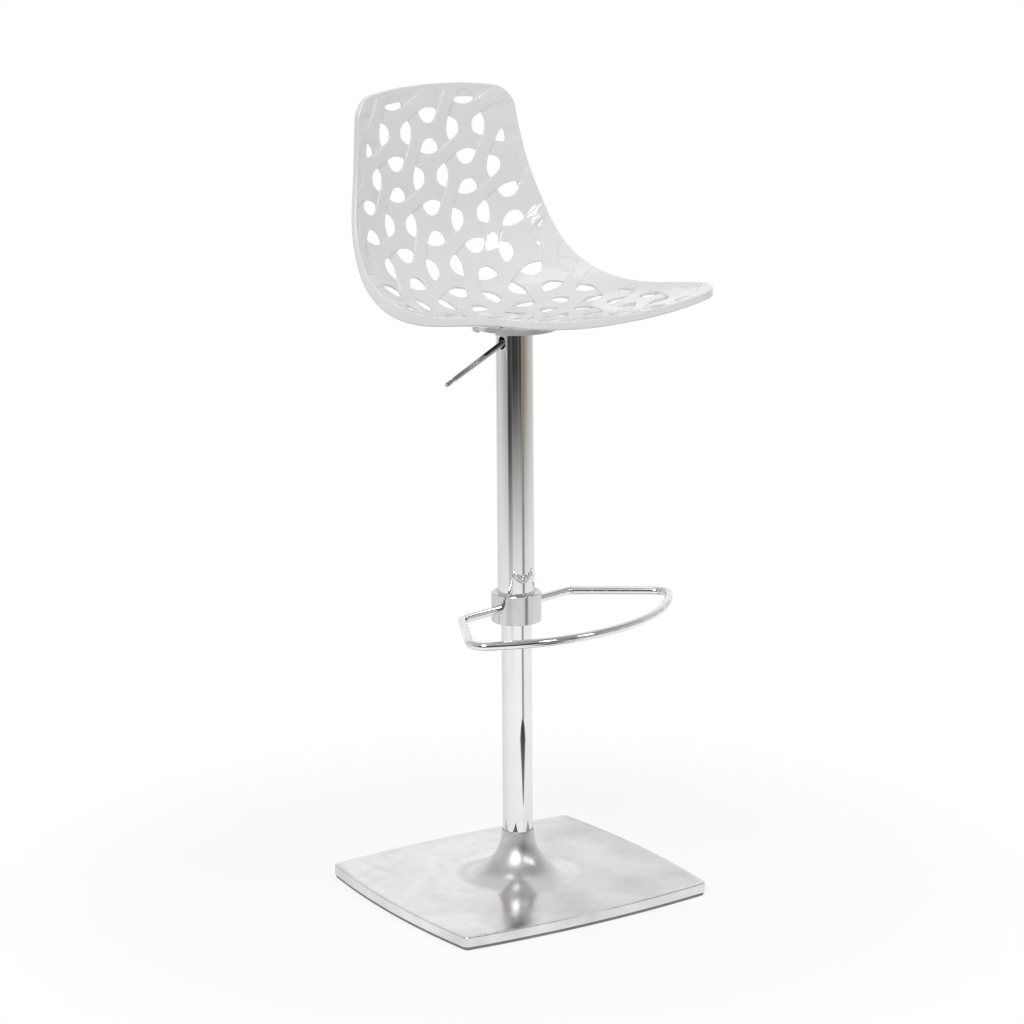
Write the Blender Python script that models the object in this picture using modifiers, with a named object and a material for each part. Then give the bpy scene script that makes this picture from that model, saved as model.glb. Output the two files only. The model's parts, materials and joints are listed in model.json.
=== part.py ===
"""Pedestal bar stool: perforated bucket shell on a gas-lift swivel column with a footrest loop.

Metres, +Z up, origin on the floor at the column axis.  The seat faces -Y and the release lever points to
-X.  The seat stands at full height and turned on its swivel, so the base is drawn turned under it.
"""
import math

import bmesh
import bpy
import numpy as np
from mathutils import Matrix, Vector
from mathutils.geometry import delaunay_2d_cdt

# Fits
GAP = 0.0003                  # clearance between touching pieces
OVER = 0.010                  # how far a cutter stands proud of what it cuts
SMOOTH_ANGLE = math.radians(35)

# Base
BASE_TURN = math.radians(-14.2)
BASE_HALF_X, BASE_HALF_Y = 0.2094, 0.1904     # at the middle of each bowed side
BASE_BOW = 0.011
BASE_CORNER = 0.010
BASE_EDGE_TOP = 0.0188
GASKET_T, GASKET_W, GASKET_INSET = 0.0045, 0.009, 0.002
EDGE_ROUND = 0.0016
CASTING_T = 0.0055
FLARE_FOOT_R, FLARE_FOOT_Z = 0.100, 0.0212
FLARE_TOP_Z, FLARE_LIP_T = 0.085, 0.0014
APRON_SETBACK = 0.012
BALLAST_T, BALLAST_INSET, BALLAST_LIFT = 0.006, 0.014, 0.001
BOSS_R, BOSS_DEPTH, BOSS_PLACE = 0.009, 0.005, 0.74

# Column, from the inside out (radii)
ROD_R = 0.005
CYL_BORE_R, CYL_R = 0.012, 0.014
TUBE_WALL = 0.0025
TUBE_R = 0.0208
SLEEVE_WALL = 0.002
SLEEVE_R = 0.0255
COLLAR_R = 0.0345

# Column heights, taken down from the top of the sleeve
SLEEVE_TOP = 0.7927
STROKE = 0.210                # how far the seat sinks
PIVOT_DROP, SLOT_DROP = 0.0152, 0.0172
CYL_DROP = 0.0277             # top of the gas cylinder, clear of the lever's tongue
HUB_DROP, HUB_L = 0.0357, 0.042
BUSH_L, BUSH_RIM = 0.060, 0.003
CYL_GUIDE_L, CYL_END_T, SEAL_T = 0.026, 0.014, 0.004
PISTON_L, PISTON_GROOVE = 0.016, 0.0018
TRAVEL_GAP = 0.002            # left between hub and bush at the end of the stroke

# Footrest collar, above and below the axis of its rod
COLLAR_RISE, COLLAR_FALL = 0.0195, 0.0215
COLLAR_FLANGE_T, COLLAR_EDGE = 0.0067, 0.0012

# Tube foot and thrust bearing
FLANGE_R, FLANGE_T = 0.042, 0.004
WASHER_R, WASHER_T = 0.0145, 0.002
BALL_R, BALL_RING_R, BALL_N = 0.002, 0.010, 8
STOP_R, STOP_L, STOP_EDGE = 0.011, 0.012, 0.0015
SHOULDER_R, SHOULDER_L = 0.008, 0.005
CLIP_R, CLIP_T, ROD_NECK_R = 0.0080, 0.0014, 0.0038

# Screws
M6_R, M6_HEAD_R = 0.0027, 0.0055
M5_R = 0.0025
FLANGE_SCREW_R = 0.032
SEAT_SCREW_XY = 0.030

# Seat plate and adapter
PLATE_R, PLATE_T = 0.0530, 0.0025
ADAPTER_R, SKIRT_FALL = 0.0575, 0.0044          # the skirt hides the plate, but for a notch over the lever
NOTCH_HALF, NOTCH_H = 0.0165, 0.0031
INSERT_R, INSERT_L = 0.0042, 0.0050

# Release lever
SLOT_H, SLOT_W = 0.018, 0.0125
PIVOT_X, PIVOT_R = -0.0165, 0.002
LEVER_REACH, LEVER_FALL = 0.1165, 0.0455      # of the tip from the pivot
LEVER_R, LEVER_TIP_R = 0.0040, 0.0027
LEVER_EYE_R, LEVER_EYE_W, EAR_T = 0.0042, 0.008, 0.002
VALVE_R = 0.002

# Footrest loop (rod centre line)
FOOT_Z, FOOT_R = 0.4073, 0.00575
FOOT_BACK_X = 0.108
FOOT_FRONT_X = 0.199
FOOT_APEX_Y, FOOT_ARC_R = -0.188, 0.279
FOOT_BACK_BEND, FOOT_FRONT_BEND = 0.020, 0.023
FOOT_SOCKET = 0.0055

# Seat shell: centre profile (y, z) from the front edge to the top edge, and the right rim (x, y, z), with z
# measured from the middle of the seat
SEAT_LIFT = 0.0135            # middle of the seat above the plate
PROFILE = [(-0.200, 0.023), (-0.140, 0.010), (-0.080, 0.003), (0.0, 0.0), (0.059, 0.0045), (0.108, 0.0275),
           (0.136, 0.068), (0.149, 0.114), (0.154, 0.177), (0.157, 0.240), (0.160, 0.302)]
RIM = [(0.200, -0.203, 0.041), (0.202, -0.139, 0.0375), (0.205, -0.041, 0.0295), (0.203, 0.020, 0.0375),
       (0.196, 0.078, 0.068), (0.182, 0.114, 0.132), (0.1685, 0.1255, 0.178), (0.148, 0.140, 0.290)]
DISH_POWER = 2.3              # how the section rises from the centre to the rim
SHELL_T = 0.0045
LIP_H, LIP_BACK, LIP_FADE = 0.0107, 0.0070, 0.15              # lip round the seat, round the back, between
LIP_SWELL, LIP_SWELL_T, LIP_SWELL_W = 0.0055, 0.252, 0.080    # deeper lip beside the hollow of the seat
FRONT_CORNER, TOP_CORNER = 0.045, 0.030
SIDE_BAND, END_BAND = 0.025, 0.0195
WAIST_BAND, WAIST_T, WAIST_W = 0.015, 0.360, 0.030            # wider band where the seat turns into the back

# Openwork: D-shaped openings in pairs, each pair turned a quarter from its neighbours
PITCH_S, PITCH_T = 0.068, 0.0632
ROW_T, ROW_RISE = 0.539, 0.43   # profile length at the first full row, and how rows climb towards the rim
OPEN_HALF, OPEN_FLAT, OPEN_BULGE, OPEN_BOW = 0.27, 0.425, 0.168, 0.0775    # shares of a pitch
OPEN_POWER = 2.75
OPEN_MIN = 0.0095             # a clipped opening narrower than this stays closed

# Derived heights
PIVOT_Z = SLEEVE_TOP - PIVOT_DROP
SLOT_Z = SLEEVE_TOP - SLOT_DROP
CYL_TOP = SLEEVE_TOP - CYL_DROP
HUB_TOP = SLEEVE_TOP - HUB_DROP
HUB_BOTTOM = HUB_TOP - HUB_L
TUBE_TOP = HUB_BOTTOM - STROKE - BUSH_RIM - TRAVEL_GAP
CYL_BOTTOM = TUBE_TOP - BUSH_L
PISTON_BOTTOM = CYL_BOTTOM + CYL_GUIDE_L + 4 * TRAVEL_GAP
COLLAR_BOTTOM = FOOT_Z - COLLAR_FALL
COLLAR_TOP = FOOT_Z + COLLAR_RISE
BALLAST_BOTTOM = GASKET_T + BALLAST_LIFT
FLANGE_BOTTOM = BALLAST_BOTTOM + BALLAST_T + GAP
FLANGE_TOP = FLANGE_BOTTOM + FLANGE_T
WASHER_LOW = FLANGE_TOP + GAP
BALL_Z = WASHER_LOW + WASHER_T + GAP + BALL_R
WASHER_HIGH = BALL_Z + BALL_R + GAP
SHOULDER_Z = WASHER_HIGH + WASHER_T + GAP
CLIP_Z = FLANGE_BOTTOM - GAP - CLIP_T
SLEEVE_BOTTOM = COLLAR_BOTTOM + COLLAR_FLANGE_T + GAP
PLATE_BOTTOM = SLEEVE_TOP + GAP
PLATE_TOP = PLATE_BOTTOM + PLATE_T
ADAPTER_BOTTOM = PLATE_TOP + GAP
SEAT_Z = PLATE_TOP + SEAT_LIFT
TUBE_BORE = TUBE_R - TUBE_WALL
PISTON_R = CYL_BORE_R - 0.0005
SLEEVE_BORE = SLEEVE_R - SLEEVE_WALL

for old in list(bpy.data.objects):
    bpy.data.objects.remove(old, do_unlink=True)
PARTS = bpy.data.collections.new("pedestal_stool")
TOOLS = bpy.data.collections.new("cutters")
for group in (PARTS, TOOLS):
    bpy.context.scene.collection.children.link(group)


def material(name, colour, metal, rough):
    mat = bpy.data.materials.new(name)
    mat.use_nodes = True
    shader = mat.node_tree.nodes["Principled BSDF"]
    shader.inputs["Base Color"].default_value = (*colour, 1.0)
    shader.inputs["Metallic"].default_value = metal
    shader.inputs["Roughness"].default_value = rough
    mat.diffuse_color = (*colour, 1.0)
    return mat


FINISHES = {
    "chrome": ((0.72, 0.72, 0.73), 1.0, 0.08),
    "aluminium": ((0.70, 0.69, 0.68), 1.0, 0.32),
    "steel": ((0.45, 0.46, 0.47), 1.0, 0.35),
    "zinc": ((0.62, 0.63, 0.60), 1.0, 0.30),
    "iron": ((0.09, 0.09, 0.095), 0.4, 0.65),
    "white": ((0.83, 0.84, 0.85), 0.0, 0.20),
    "nylon": ((0.10, 0.10, 0.11), 0.0, 0.45),
    "rubber": ((0.045, 0.045, 0.05), 0.0, 0.80),
    "brass": ((0.72, 0.55, 0.25), 1.0, 0.30),
}


def frame(name, turn=0.0):
    """An empty on the column axis that carries one body of the assembly."""
    empty = bpy.data.objects.new(name, None)
    empty.rotation_euler.z = turn
    PARTS.objects.link(empty)
    return empty


BASE = frame("base_frame", BASE_TURN)
ROD = frame("rod_frame")
CARRIAGE = frame("carriage_frame")


def place(ob, name, finish, parent, at=(0.0, 0.0, 0.0)):
    """Name an object, give it a material of its own, smooth its round faces and hang it on its frame."""
    ob.name = ob.data.name = name
    ob.data.materials.clear()
    ob.data.materials.append(material(name + "_" + finish, *FINISHES[finish]))
    ob.data.shade_smooth()
    ob.data.set_sharp_from_angle(angle=SMOOTH_ANGLE)
    TOOLS.objects.unlink(ob)
    PARTS.objects.link(ob)
    ob.parent, ob.location = parent, at
    return ob


def place_copies(ob, name, finish, parent, spots):
    """Copies of one mesh, each its own object, at XY spots."""
    place(ob, name + "_1", finish, parent, (*spots[0], 0.0))
    for number, spot in enumerate(spots[1:], 2):
        copy = bpy.data.objects.new(f"{name}_{number}", ob.data)
        PARTS.objects.link(copy)
        copy.parent, copy.location = parent, (*spot, 0.0)


def from_bmesh(bm):
    bmesh.ops.remove_doubles(bm, verts=bm.verts, dist=1e-6)
    bmesh.ops.recalc_face_normals(bm, faces=bm.faces)
    mesh = bpy.data.meshes.new("body")
    bm.to_mesh(mesh)
    bm.free()
    ob = bpy.data.objects.new("body", mesh)
    TOOLS.objects.link(ob)
    return ob


def settle(ob):
    """Turn an object with modifiers or a curve into a plain closed mesh."""
    bpy.context.view_layer.update()
    graph = bpy.context.evaluated_depsgraph_get()
    mesh = bpy.data.meshes.new_from_object(ob.evaluated_get(graph))
    bm = bmesh.new()
    bm.from_mesh(mesh)
    bm.transform(ob.matrix_world)
    bpy.data.objects.remove(ob, do_unlink=True)
    bpy.data.meshes.remove(mesh)
    return from_bmesh(bm)


def lathe(profile, steps=32):
    """Revolve a closed (radius, z) outline about Z with the Screw modifier."""
    mesh = bpy.data.meshes.new("outline")
    count = len(profile)
    edges = [(i, (i + 1) % count) for i in range(count)]
    edges = [(a, b) for a, b in edges if profile[a][0] > 1e-6 or profile[b][0] > 1e-6]
    mesh.from_pydata([(r, 0.0, z) for r, z in profile], edges, [])
    ob = bpy.data.objects.new("outline", mesh)
    TOOLS.objects.link(ob)
    screw = ob.modifiers.new("revolve", "SCREW")
    screw.axis, screw.angle = "Z", 2 * math.pi
    screw.steps = screw.render_steps = steps
    screw.use_merge_vertices, screw.merge_threshold = True, 1e-5
    return settle(ob)


def ring(r_in, r_out, z0, z1, steps=32, chamfer=0.0):
    c = chamfer
    if c:
        return lathe([(r_in, z1), (r_out - c, z1), (r_out, z1 - c), (r_out, z0 + c), (r_out - c, z0),
                      (r_in, z0)], steps)
    return lathe([(r_in, z1), (r_out, z1), (r_out, z0), (r_in, z0)], steps)


def rod(radius, z0, z1, steps=20):
    bm = bmesh.new()
    bmesh.ops.create_cone(bm, cap_ends=True, segments=steps, radius1=radius, radius2=radius, depth=z1 - z0)
    bmesh.ops.translate(bm, verts=bm.verts, vec=(0, 0, (z0 + z1) / 2))
    return from_bmesh(bm)


def box(x0, x1, y0, y1, z0, z1):
    bm = bmesh.new()
    bmesh.ops.create_cube(bm, size=1.0)
    bmesh.ops.scale(bm, verts=bm.verts, vec=(x1 - x0, y1 - y0, z1 - z0))
    bmesh.ops.translate(bm, verts=bm.verts, vec=((x0 + x1) / 2, (y0 + y1) / 2, (z0 + z1) / 2))
    return from_bmesh(bm)


def moved(ob, matrix):
    ob.data.transform(matrix)
    return ob


def shift(ob, x=0.0, y=0.0, z=0.0):
    return moved(ob, Matrix.Translation((x, y, z)))


def turn(ob, angle, axis="Z"):
    return moved(ob, Matrix.Rotation(angle, 4, axis))


def boolean(ob, tools, operation):
    for tool in tools:
        tool.hide_render, tool.display_type = True, "WIRE"
        mod = ob.modifiers.new("shape", "BOOLEAN")
        mod.operation, mod.solver, mod.object = operation, "EXACT", tool
    done = settle(ob)
    for tool in tools:
        bpy.data.objects.remove(tool, do_unlink=True)
    return done


def cut(ob, *tools):
    return boolean(ob, tools, "DIFFERENCE")


def fuse(ob, *tools):
    return boolean(ob, tools, "UNION")


def four(x, y):
    return [(x, y), (-x, y), (-x, -y), (x, -y)]


def around(radius, count, start=0.0):
    angles = [start + 2 * math.pi * i / count for i in range(count)]
    return [(radius * math.cos(a), radius * math.sin(a)) for a in angles]


def axle(radius, half, x, z, steps=16):
    """A round bar along Y, centred on the XZ point."""
    return shift(turn(rod(radius, -half, half, steps), math.pi / 2, "X"), x, 0, z)


def base_outline(inset):
    """Rectangle with bowed sides and rounded corners, in the base's own axes."""
    hx, hy, radius = BASE_HALF_X - inset, BASE_HALF_Y - inset, max(BASE_CORNER - inset, 0.004)
    cx, cy = hx - BASE_BOW - radius, hy - BASE_BOW - radius
    points = []
    for quarter, (sx, sy) in enumerate(((1, 1), (-1, 1), (-1, -1), (1, -1))):
        for step in range(5):
            a = quarter * math.pi / 2 + step * math.pi / 8
            points.append((sx * cx + radius * math.cos(a), sy * cy + radius * math.sin(a)))
        along_x = quarter % 2 == 0
        for step in range(1, 4):
            f = 1 - step / 2.0
            bow = BASE_BOW * (1 - f * f)
            if along_x:
                points.append((sx * cx * f, sy * (hy - BASE_BOW + bow)))
            else:
                points.append((sx * (hx - BASE_BOW + bow), sy * cy * f))
    return points


def base_slab(inset, z0, z1):
    """Flat plate of the base outline, as a filled 2D curve."""
    curve = bpy.data.curves.new("outline", "CURVE")
    curve.dimensions, curve.fill_mode, curve.extrude = "2D", "BOTH", (z1 - z0) / 2
    points = base_outline(inset)
    spline = curve.splines.new("POLY")
    spline.points.add(len(points) - 1)
    for point, (x, y) in zip(spline.points, points):
        point.co = (x, y, 0.0, 1.0)
    spline.use_cyclic_u = True
    ob = bpy.data.objects.new("outline", curve)
    TOOLS.objects.link(ob)
    ob.location.z = (z0 + z1) / 2
    return settle(ob)


def flare(lip_r, foot_r, foot_z, top_z, steps=8):
    """Concave quarter-ellipse from the lip of the trumpet down to the flat top."""
    points = []
    for i in range(steps):
        a = i / (steps - 1) * math.pi / 2
        points.append((foot_r - (foot_r - lip_r) * math.cos(a), top_z - (top_z - foot_z) * math.sin(a)))
    return points


# Base: casting with its trumpet, rubber edge, ballast and their screws
bore = TUBE_R + GAP
under_z = BASE_EDGE_TOP - CASTING_T
boss_xy = four(BASE_HALF_X * BOSS_PLACE, BASE_HALF_Y * BOSS_PLACE)
boss_z = BALLAST_BOTTOM + BALLAST_T + GAP
slab = base_slab(0.0, GASKET_T + GAP, BASE_EDGE_TOP)
trim = slab.modifiers.new("edge", "BEVEL")
trim.width, trim.segments, trim.limit_method = EDGE_ROUND, 2, "ANGLE"
slab = settle(slab)
apron_r, apron_z = BASE_HALF_Y - APRON_SETBACK, BASE_EDGE_TOP - GAP
root_z = under_z + EDGE_ROUND
outer = flare(bore + FLARE_LIP_T, FLARE_FOOT_R, FLARE_FOOT_Z, FLARE_TOP_Z)
trumpet = lathe(outer + [(apron_r, apron_z), (apron_r - CASTING_T, root_z), (0, root_z), (0, FLARE_TOP_Z)])
throat_z = FLARE_TOP_Z - 3 * CASTING_T
inner = flare(bore + 0.7 * CASTING_T, FLARE_FOOT_R - 0.6 * CASTING_T, under_z - GAP, throat_z, 5)
throat = lathe(inner + [(0, under_z - GAP), (0, throat_z)], 24)
hollow = cut(base_slab(0.7 * BALLAST_INSET, 0.0, under_z),
             *[shift(rod(BOSS_R, boss_z, BASE_EDGE_TOP, 12), x, y) for x, y in boss_xy])
drilled = [shift(rod(M6_R + GAP, 0.0, boss_z + BOSS_DEPTH, 8), x, y) for x, y in boss_xy]
casting = cut(fuse(slab, trumpet), hollow, throat, rod(bore, 0.0, FLARE_TOP_Z + OVER, 32), *drilled)
place(casting, "base_casting", "aluminium", BASE)

gasket_core = base_slab(GASKET_INSET + GASKET_W, -OVER, GASKET_T + OVER)
place(cut(base_slab(GASKET_INSET, 0.0, GASKET_T), gasket_core), "base_gasket", "rubber", BASE)

M6_HEAD_H = M6_HEAD_R - M6_R


def countersunk(z0, z1):
    """Countersunk screw with its head flush at z0 and a hexagon socket."""
    screw = lathe([(0, z1), (M6_R, z1), (M6_R, z0 + M6_HEAD_H), (M6_HEAD_R, z0), (0, z0)], 8)
    return cut(screw, rod(M6_R * 0.7, z0 - OVER, z0 + 0.8 * M6_HEAD_H, 6))


def countersink(x, y, z0, z1):
    """Cutter that leaves the screw a clearance all round."""
    shank, head, low = M6_R + GAP, M6_HEAD_R + GAP, z0 - OVER
    hole = lathe([(0, z1), (shank, z1), (shank, z0 + M6_HEAD_H), (head, z0), (head, low), (0, low)], 8)
    return shift(hole, x, y)


flange_xy = around(FLANGE_SCREW_R, 4, math.pi / 4)
ballast = base_slab(BALLAST_INSET, BALLAST_BOTTOM, BALLAST_BOTTOM + BALLAST_T)
sinks = [countersink(x, y, BALLAST_BOTTOM, boss_z + OVER) for x, y in boss_xy + flange_xy]
place(cut(ballast, rod(1.5 * CLIP_R, 0.0, BASE_EDGE_TOP, 20), *sinks), "ballast_plate", "iron", BASE)
casting_screw = countersunk(BALLAST_BOTTOM, boss_z + BOSS_DEPTH - 2 * GAP)
place_copies(casting_screw, "casting_screw", "zinc", BASE, boss_xy)
place_copies(countersunk(BALLAST_BOTTOM, FLANGE_TOP - GAP), "flange_screw", "zinc", BASE, flange_xy)
flange = cut(ring(ROD_R + GAP, FLANGE_R, FLANGE_BOTTOM, FLANGE_TOP, 20),
             *[shift(rod(M6_R + GAP, 0.0, FLANGE_TOP + OVER, 8), x, y) for x, y in flange_xy])
place(flange, "tube_flange", "steel", BASE)

# Fixed column
place(ring(TUBE_BORE, TUBE_R, FLANGE_TOP + GAP, TUBE_TOP), "column_tube", "chrome", BASE)
bush_in, bush_out, bush_top = CYL_R + GAP, TUBE_BORE - GAP, TUBE_TOP + BUSH_RIM
place(lathe([(bush_in, bush_top), (TUBE_R, bush_top), (TUBE_R, TUBE_TOP + GAP), (bush_out, TUBE_TOP + GAP),
             (bush_out, TUBE_TOP - BUSH_L), (bush_in, TUBE_TOP - BUSH_L)], 18), "guide_bush", "nylon", BASE)

# Thrust bearing under the rod
lower, upper = (ring(ROD_R + GAP, WASHER_R, z, z + WASHER_T, 16) for z in (WASHER_LOW, WASHER_HIGH))
place(lower, "thrust_washer_lower", "steel", BASE)
place(upper, "thrust_washer_upper", "steel", ROD)


def ball(x, y):
    bm = bmesh.new()
    bmesh.ops.create_icosphere(bm, subdivisions=1, radius=BALL_R)
    return shift(from_bmesh(bm), x, y, BALL_Z)


cage_half, cage_t = 1.5 * BALL_R, 0.5 * BALL_R
cage = ring(BALL_RING_R - cage_half, BALL_RING_R + cage_half, BALL_Z - cage_t, BALL_Z + cage_t, 16)
place(fuse(cage, *[ball(x, y) for x, y in around(BALL_RING_R, BALL_N)]), "ball_cage", "steel", None)

# Piston rod with its shoulder and clip groove, and what sits on it
rod_top = PISTON_BOTTOM + PISTON_L
shoulder_top = SHOULDER_Z + SHOULDER_L
groove_top, groove_low = CLIP_Z + CLIP_T + GAP, CLIP_Z - GAP
rod_low = groove_low - CLIP_T
place(lathe([(0, rod_top), (ROD_R, rod_top), (ROD_R, shoulder_top), (SHOULDER_R, shoulder_top),
             (SHOULDER_R, SHOULDER_Z), (ROD_R, SHOULDER_Z), (ROD_R, groove_top), (ROD_NECK_R, groove_top),
             (ROD_NECK_R, groove_low), (ROD_R, groove_low), (ROD_R, rod_low), (0, rod_low)], 16),
      "piston_rod", "chrome", ROD)
clip = ring(ROD_NECK_R + GAP, CLIP_R, CLIP_Z, CLIP_Z + CLIP_T, 16)
clip_mouth = box(0, CLIP_R + OVER, -0.3 * ROD_NECK_R, 0.3 * ROD_NECK_R, 0, BASE_EDGE_TOP)
place(cut(clip, clip_mouth), "rod_clip", "steel", ROD)
bump_stop = ring(ROD_R + GAP, STOP_R, shoulder_top + GAP, shoulder_top + STOP_L, 16, STOP_EDGE)
place(bump_stop, "bump_stop", "rubber", ROD)
seat_r, mid = PISTON_R - PISTON_GROOVE, PISTON_BOTTOM + PISTON_L / 2
low, high = mid - PISTON_GROOVE, mid + PISTON_GROOVE
place(lathe([(ROD_R + GAP, rod_top), (PISTON_R, rod_top), (PISTON_R, high), (seat_r, high), (seat_r, low),
             (PISTON_R, low), (PISTON_R, PISTON_BOTTOM), (ROD_R + GAP, PISTON_BOTTOM)], 16),
      "piston", "steel", ROD)
place(ring(seat_r + GAP, CYL_BORE_R - GAP, low + GAP, high - GAP, 16), "piston_ring", "rubber", ROD)

# Moving cylinder with its guide and seal, the hub that holds it and the outer sleeve
guide_top, end_z = CYL_BOTTOM + CYL_GUIDE_L, CYL_TOP - CYL_END_T
valve_hole = VALVE_R + GAP
place(lathe([(CYL_BORE_R, end_z), (valve_hole, end_z), (valve_hole, CYL_TOP), (CYL_R - EDGE_ROUND, CYL_TOP),
             (CYL_R, CYL_TOP - EDGE_ROUND), (CYL_R, CYL_BOTTOM), (CYL_BORE_R, CYL_BOTTOM)], 18),
      "gas_cylinder", "steel", CARRIAGE)
in_cylinder = (ROD_R + GAP, CYL_BORE_R - GAP)
seal_z = guide_top - SEAL_T
place(ring(*in_cylinder, CYL_BOTTOM + TRAVEL_GAP, seal_z - GAP, 16), "rod_guide", "nylon", CARRIAGE)
place(ring(*in_cylinder, seal_z, guide_top, 16), "rod_seal", "rubber", CARRIAGE)
place(ring(CYL_R + GAP, SLEEVE_BORE - GAP, HUB_BOTTOM, HUB_TOP, 18), "taper_hub", "steel", CARRIAGE)
slot_z = (SLOT_Z - SLOT_H / 2, SLOT_Z + SLOT_H / 2)
slot = box(-SLEEVE_R - OVER, -SLEEVE_R + OVER, -SLOT_W / 2, SLOT_W / 2, *slot_z)
slot_ends = slot.modifiers.new("ends", "BEVEL")
slot_ends.width, slot_ends.segments, slot_ends.limit_method = SLOT_W * 0.42, 3, "ANGLE"
sleeve = cut(ring(SLEEVE_BORE, SLEEVE_R, SLEEVE_BOTTOM, SLEEVE_TOP), settle(slot))
place(sleeve, "column_sleeve", "chrome", CARRIAGE)

# Footrest collar, glide and locking screws
socket_x = COLLAR_R - FOOT_SOCKET
grub_x = socket_x + FOOT_SOCKET / 2
fit, floor_z = SLEEVE_R + GAP, COLLAR_BOTTOM + COLLAR_FLANGE_T
edge, relief_z = COLLAR_EDGE, COLLAR_TOP - 2 * COLLAR_EDGE
round_r, throat_r = COLLAR_R - edge, TUBE_R + edge
collar = lathe([(fit + 2 * edge, relief_z), (fit + 4 * edge, COLLAR_TOP), (round_r, COLLAR_TOP),
                (COLLAR_R, COLLAR_TOP - edge), (COLLAR_R, COLLAR_BOTTOM + edge), (round_r, COLLAR_BOTTOM),
                (throat_r, COLLAR_BOTTOM), (throat_r, floor_z), (fit, floor_z), (fit, relief_z)], 28)
drill = []
for side in (-1, 1):
    socket = turn(rod(FOOT_R + GAP, socket_x, COLLAR_R + OVER, 14), side * math.pi / 2, "Y")
    drill.append(shift(socket, 0, 0, FOOT_Z))
    drill.append(shift(rod(M5_R + GAP, COLLAR_BOTTOM - OVER, FOOT_Z, 8), side * grub_x))
rear = turn(rod(M5_R + GAP, SLEEVE_BORE, COLLAR_R + OVER, 8), -math.pi / 2, "X")
place(cut(collar, *drill, shift(rear, 0, 0, FOOT_Z)), "footrest_collar", "aluminium", CARRIAGE)
glide = ring(TUBE_R + GAP, SLEEVE_BORE - GAP, floor_z + GAP, COLLAR_TOP - BUSH_RIM, 24)
place(glide, "glide_bush", "nylon", CARRIAGE)


def grub(length):
    """Headless screw with a hexagon socket at its lower end."""
    return cut(rod(M5_R, 0.0, length, 8), rod(M5_R * 0.5, -OVER, M5_R, 6))


sunk = 2 * GAP
locks = shift(grub(FOOT_Z - FOOT_R - GAP - COLLAR_BOTTOM - sunk), 0, 0, COLLAR_BOTTOM + sunk)
place_copies(locks, "footrest_grub_screw", "steel", CARRIAGE, [(-grub_x, 0.0), (grub_x, 0.0)])
rear_grub = turn(grub(COLLAR_R - SLEEVE_R - GAP - 2 * sunk), math.pi / 2, "X")
place(shift(rear_grub, 0, COLLAR_R - 2 * sunk, FOOT_Z), "collar_grub_screw", "steel", CARRIAGE)


def corner(before, at, after, radius, steps=5):
    """Points of a bend of the given radius in a polyline."""
    a, b = (before - at).normalized(), (after - at).normalized()
    half = a.angle(b) / 2
    reach = radius / math.tan(half)
    centre = at + (a + b).normalized() * (radius / math.sin(half))
    start, end = at + a * reach - centre, at + b * reach - centre
    sweep = start.angle(end)
    weights = [(math.sin((1 - k / steps) * sweep), math.sin(k / steps * sweep)) for k in range(steps + 1)]
    return [centre + (start * w0 + end * w1) / math.sin(sweep) for w0, w1 in weights]


def footrest_path():
    """Left half from its collar socket to the middle of the front bow, then its mirror image."""
    arc_y = FOOT_APEX_Y + FOOT_ARC_R

    def on_arc(a):
        return Vector((FOOT_ARC_R * math.sin(a), arc_y - FOOT_ARC_R * math.cos(a)))

    end = -math.asin(FOOT_FRONT_X / FOOT_ARC_R)
    start, back, front = Vector((-socket_x - GAP, 0)), Vector((-FOOT_BACK_X, 0)), on_arc(end)
    ahead = front + Vector((math.cos(end), math.sin(end)))
    bend = corner(back, front, ahead, FOOT_FRONT_BEND)
    begin = math.asin(bend[-1].x / FOOT_ARC_R)
    path = [start] + corner(start, back, front, FOOT_BACK_BEND) + bend
    path += [on_arc(begin * (1 - k / 5)) for k in range(1, 6)]
    return path + [Vector((-p.x, p.y)) for p in reversed(path[:-1])]


def bar(points, radius, sides=10):
    """Round bar along a centre line, as a bevelled curve."""
    curve = bpy.data.curves.new("bar", "CURVE")
    curve.dimensions = "3D"
    spline = curve.splines.new("POLY")
    spline.points.add(len(points) - 1)
    for point, (co, size) in zip(spline.points, points):
        point.co, point.radius = (*co, 1.0), size / radius
    curve.bevel_depth, curve.bevel_resolution, curve.use_fill_caps = radius, sides // 2 - 2, True
    ob = bpy.data.objects.new("bar", curve)
    TOOLS.objects.link(ob)
    return settle(ob)


loop = bar([((p.x, p.y, FOOT_Z), FOOT_R) for p in footrest_path()], FOOT_R, 12)
place(loop, "footrest_ring", "chrome", CARRIAGE)

# Seat plate, lever bracket and its pivot
bolt_xy = four(SEAT_SCREW_XY, SEAT_SCREW_XY)
plate_edge = PLATE_R - 0.3 * PLATE_T
plate = lathe([(0, PLATE_TOP), (plate_edge, PLATE_TOP), (PLATE_R, PLATE_TOP - 0.3 * PLATE_T),
               (PLATE_R, PLATE_BOTTOM + 0.3 * PLATE_T), (plate_edge, PLATE_BOTTOM), (0, PLATE_BOTTOM)], 24)
plate_holes = [shift(rod(M6_R + GAP, PLATE_BOTTOM - OVER, PLATE_TOP + OVER, 8), x, y) for x, y in bolt_xy]
place(cut(plate, *plate_holes), "seat_plate", "iron", CARRIAGE)

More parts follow.
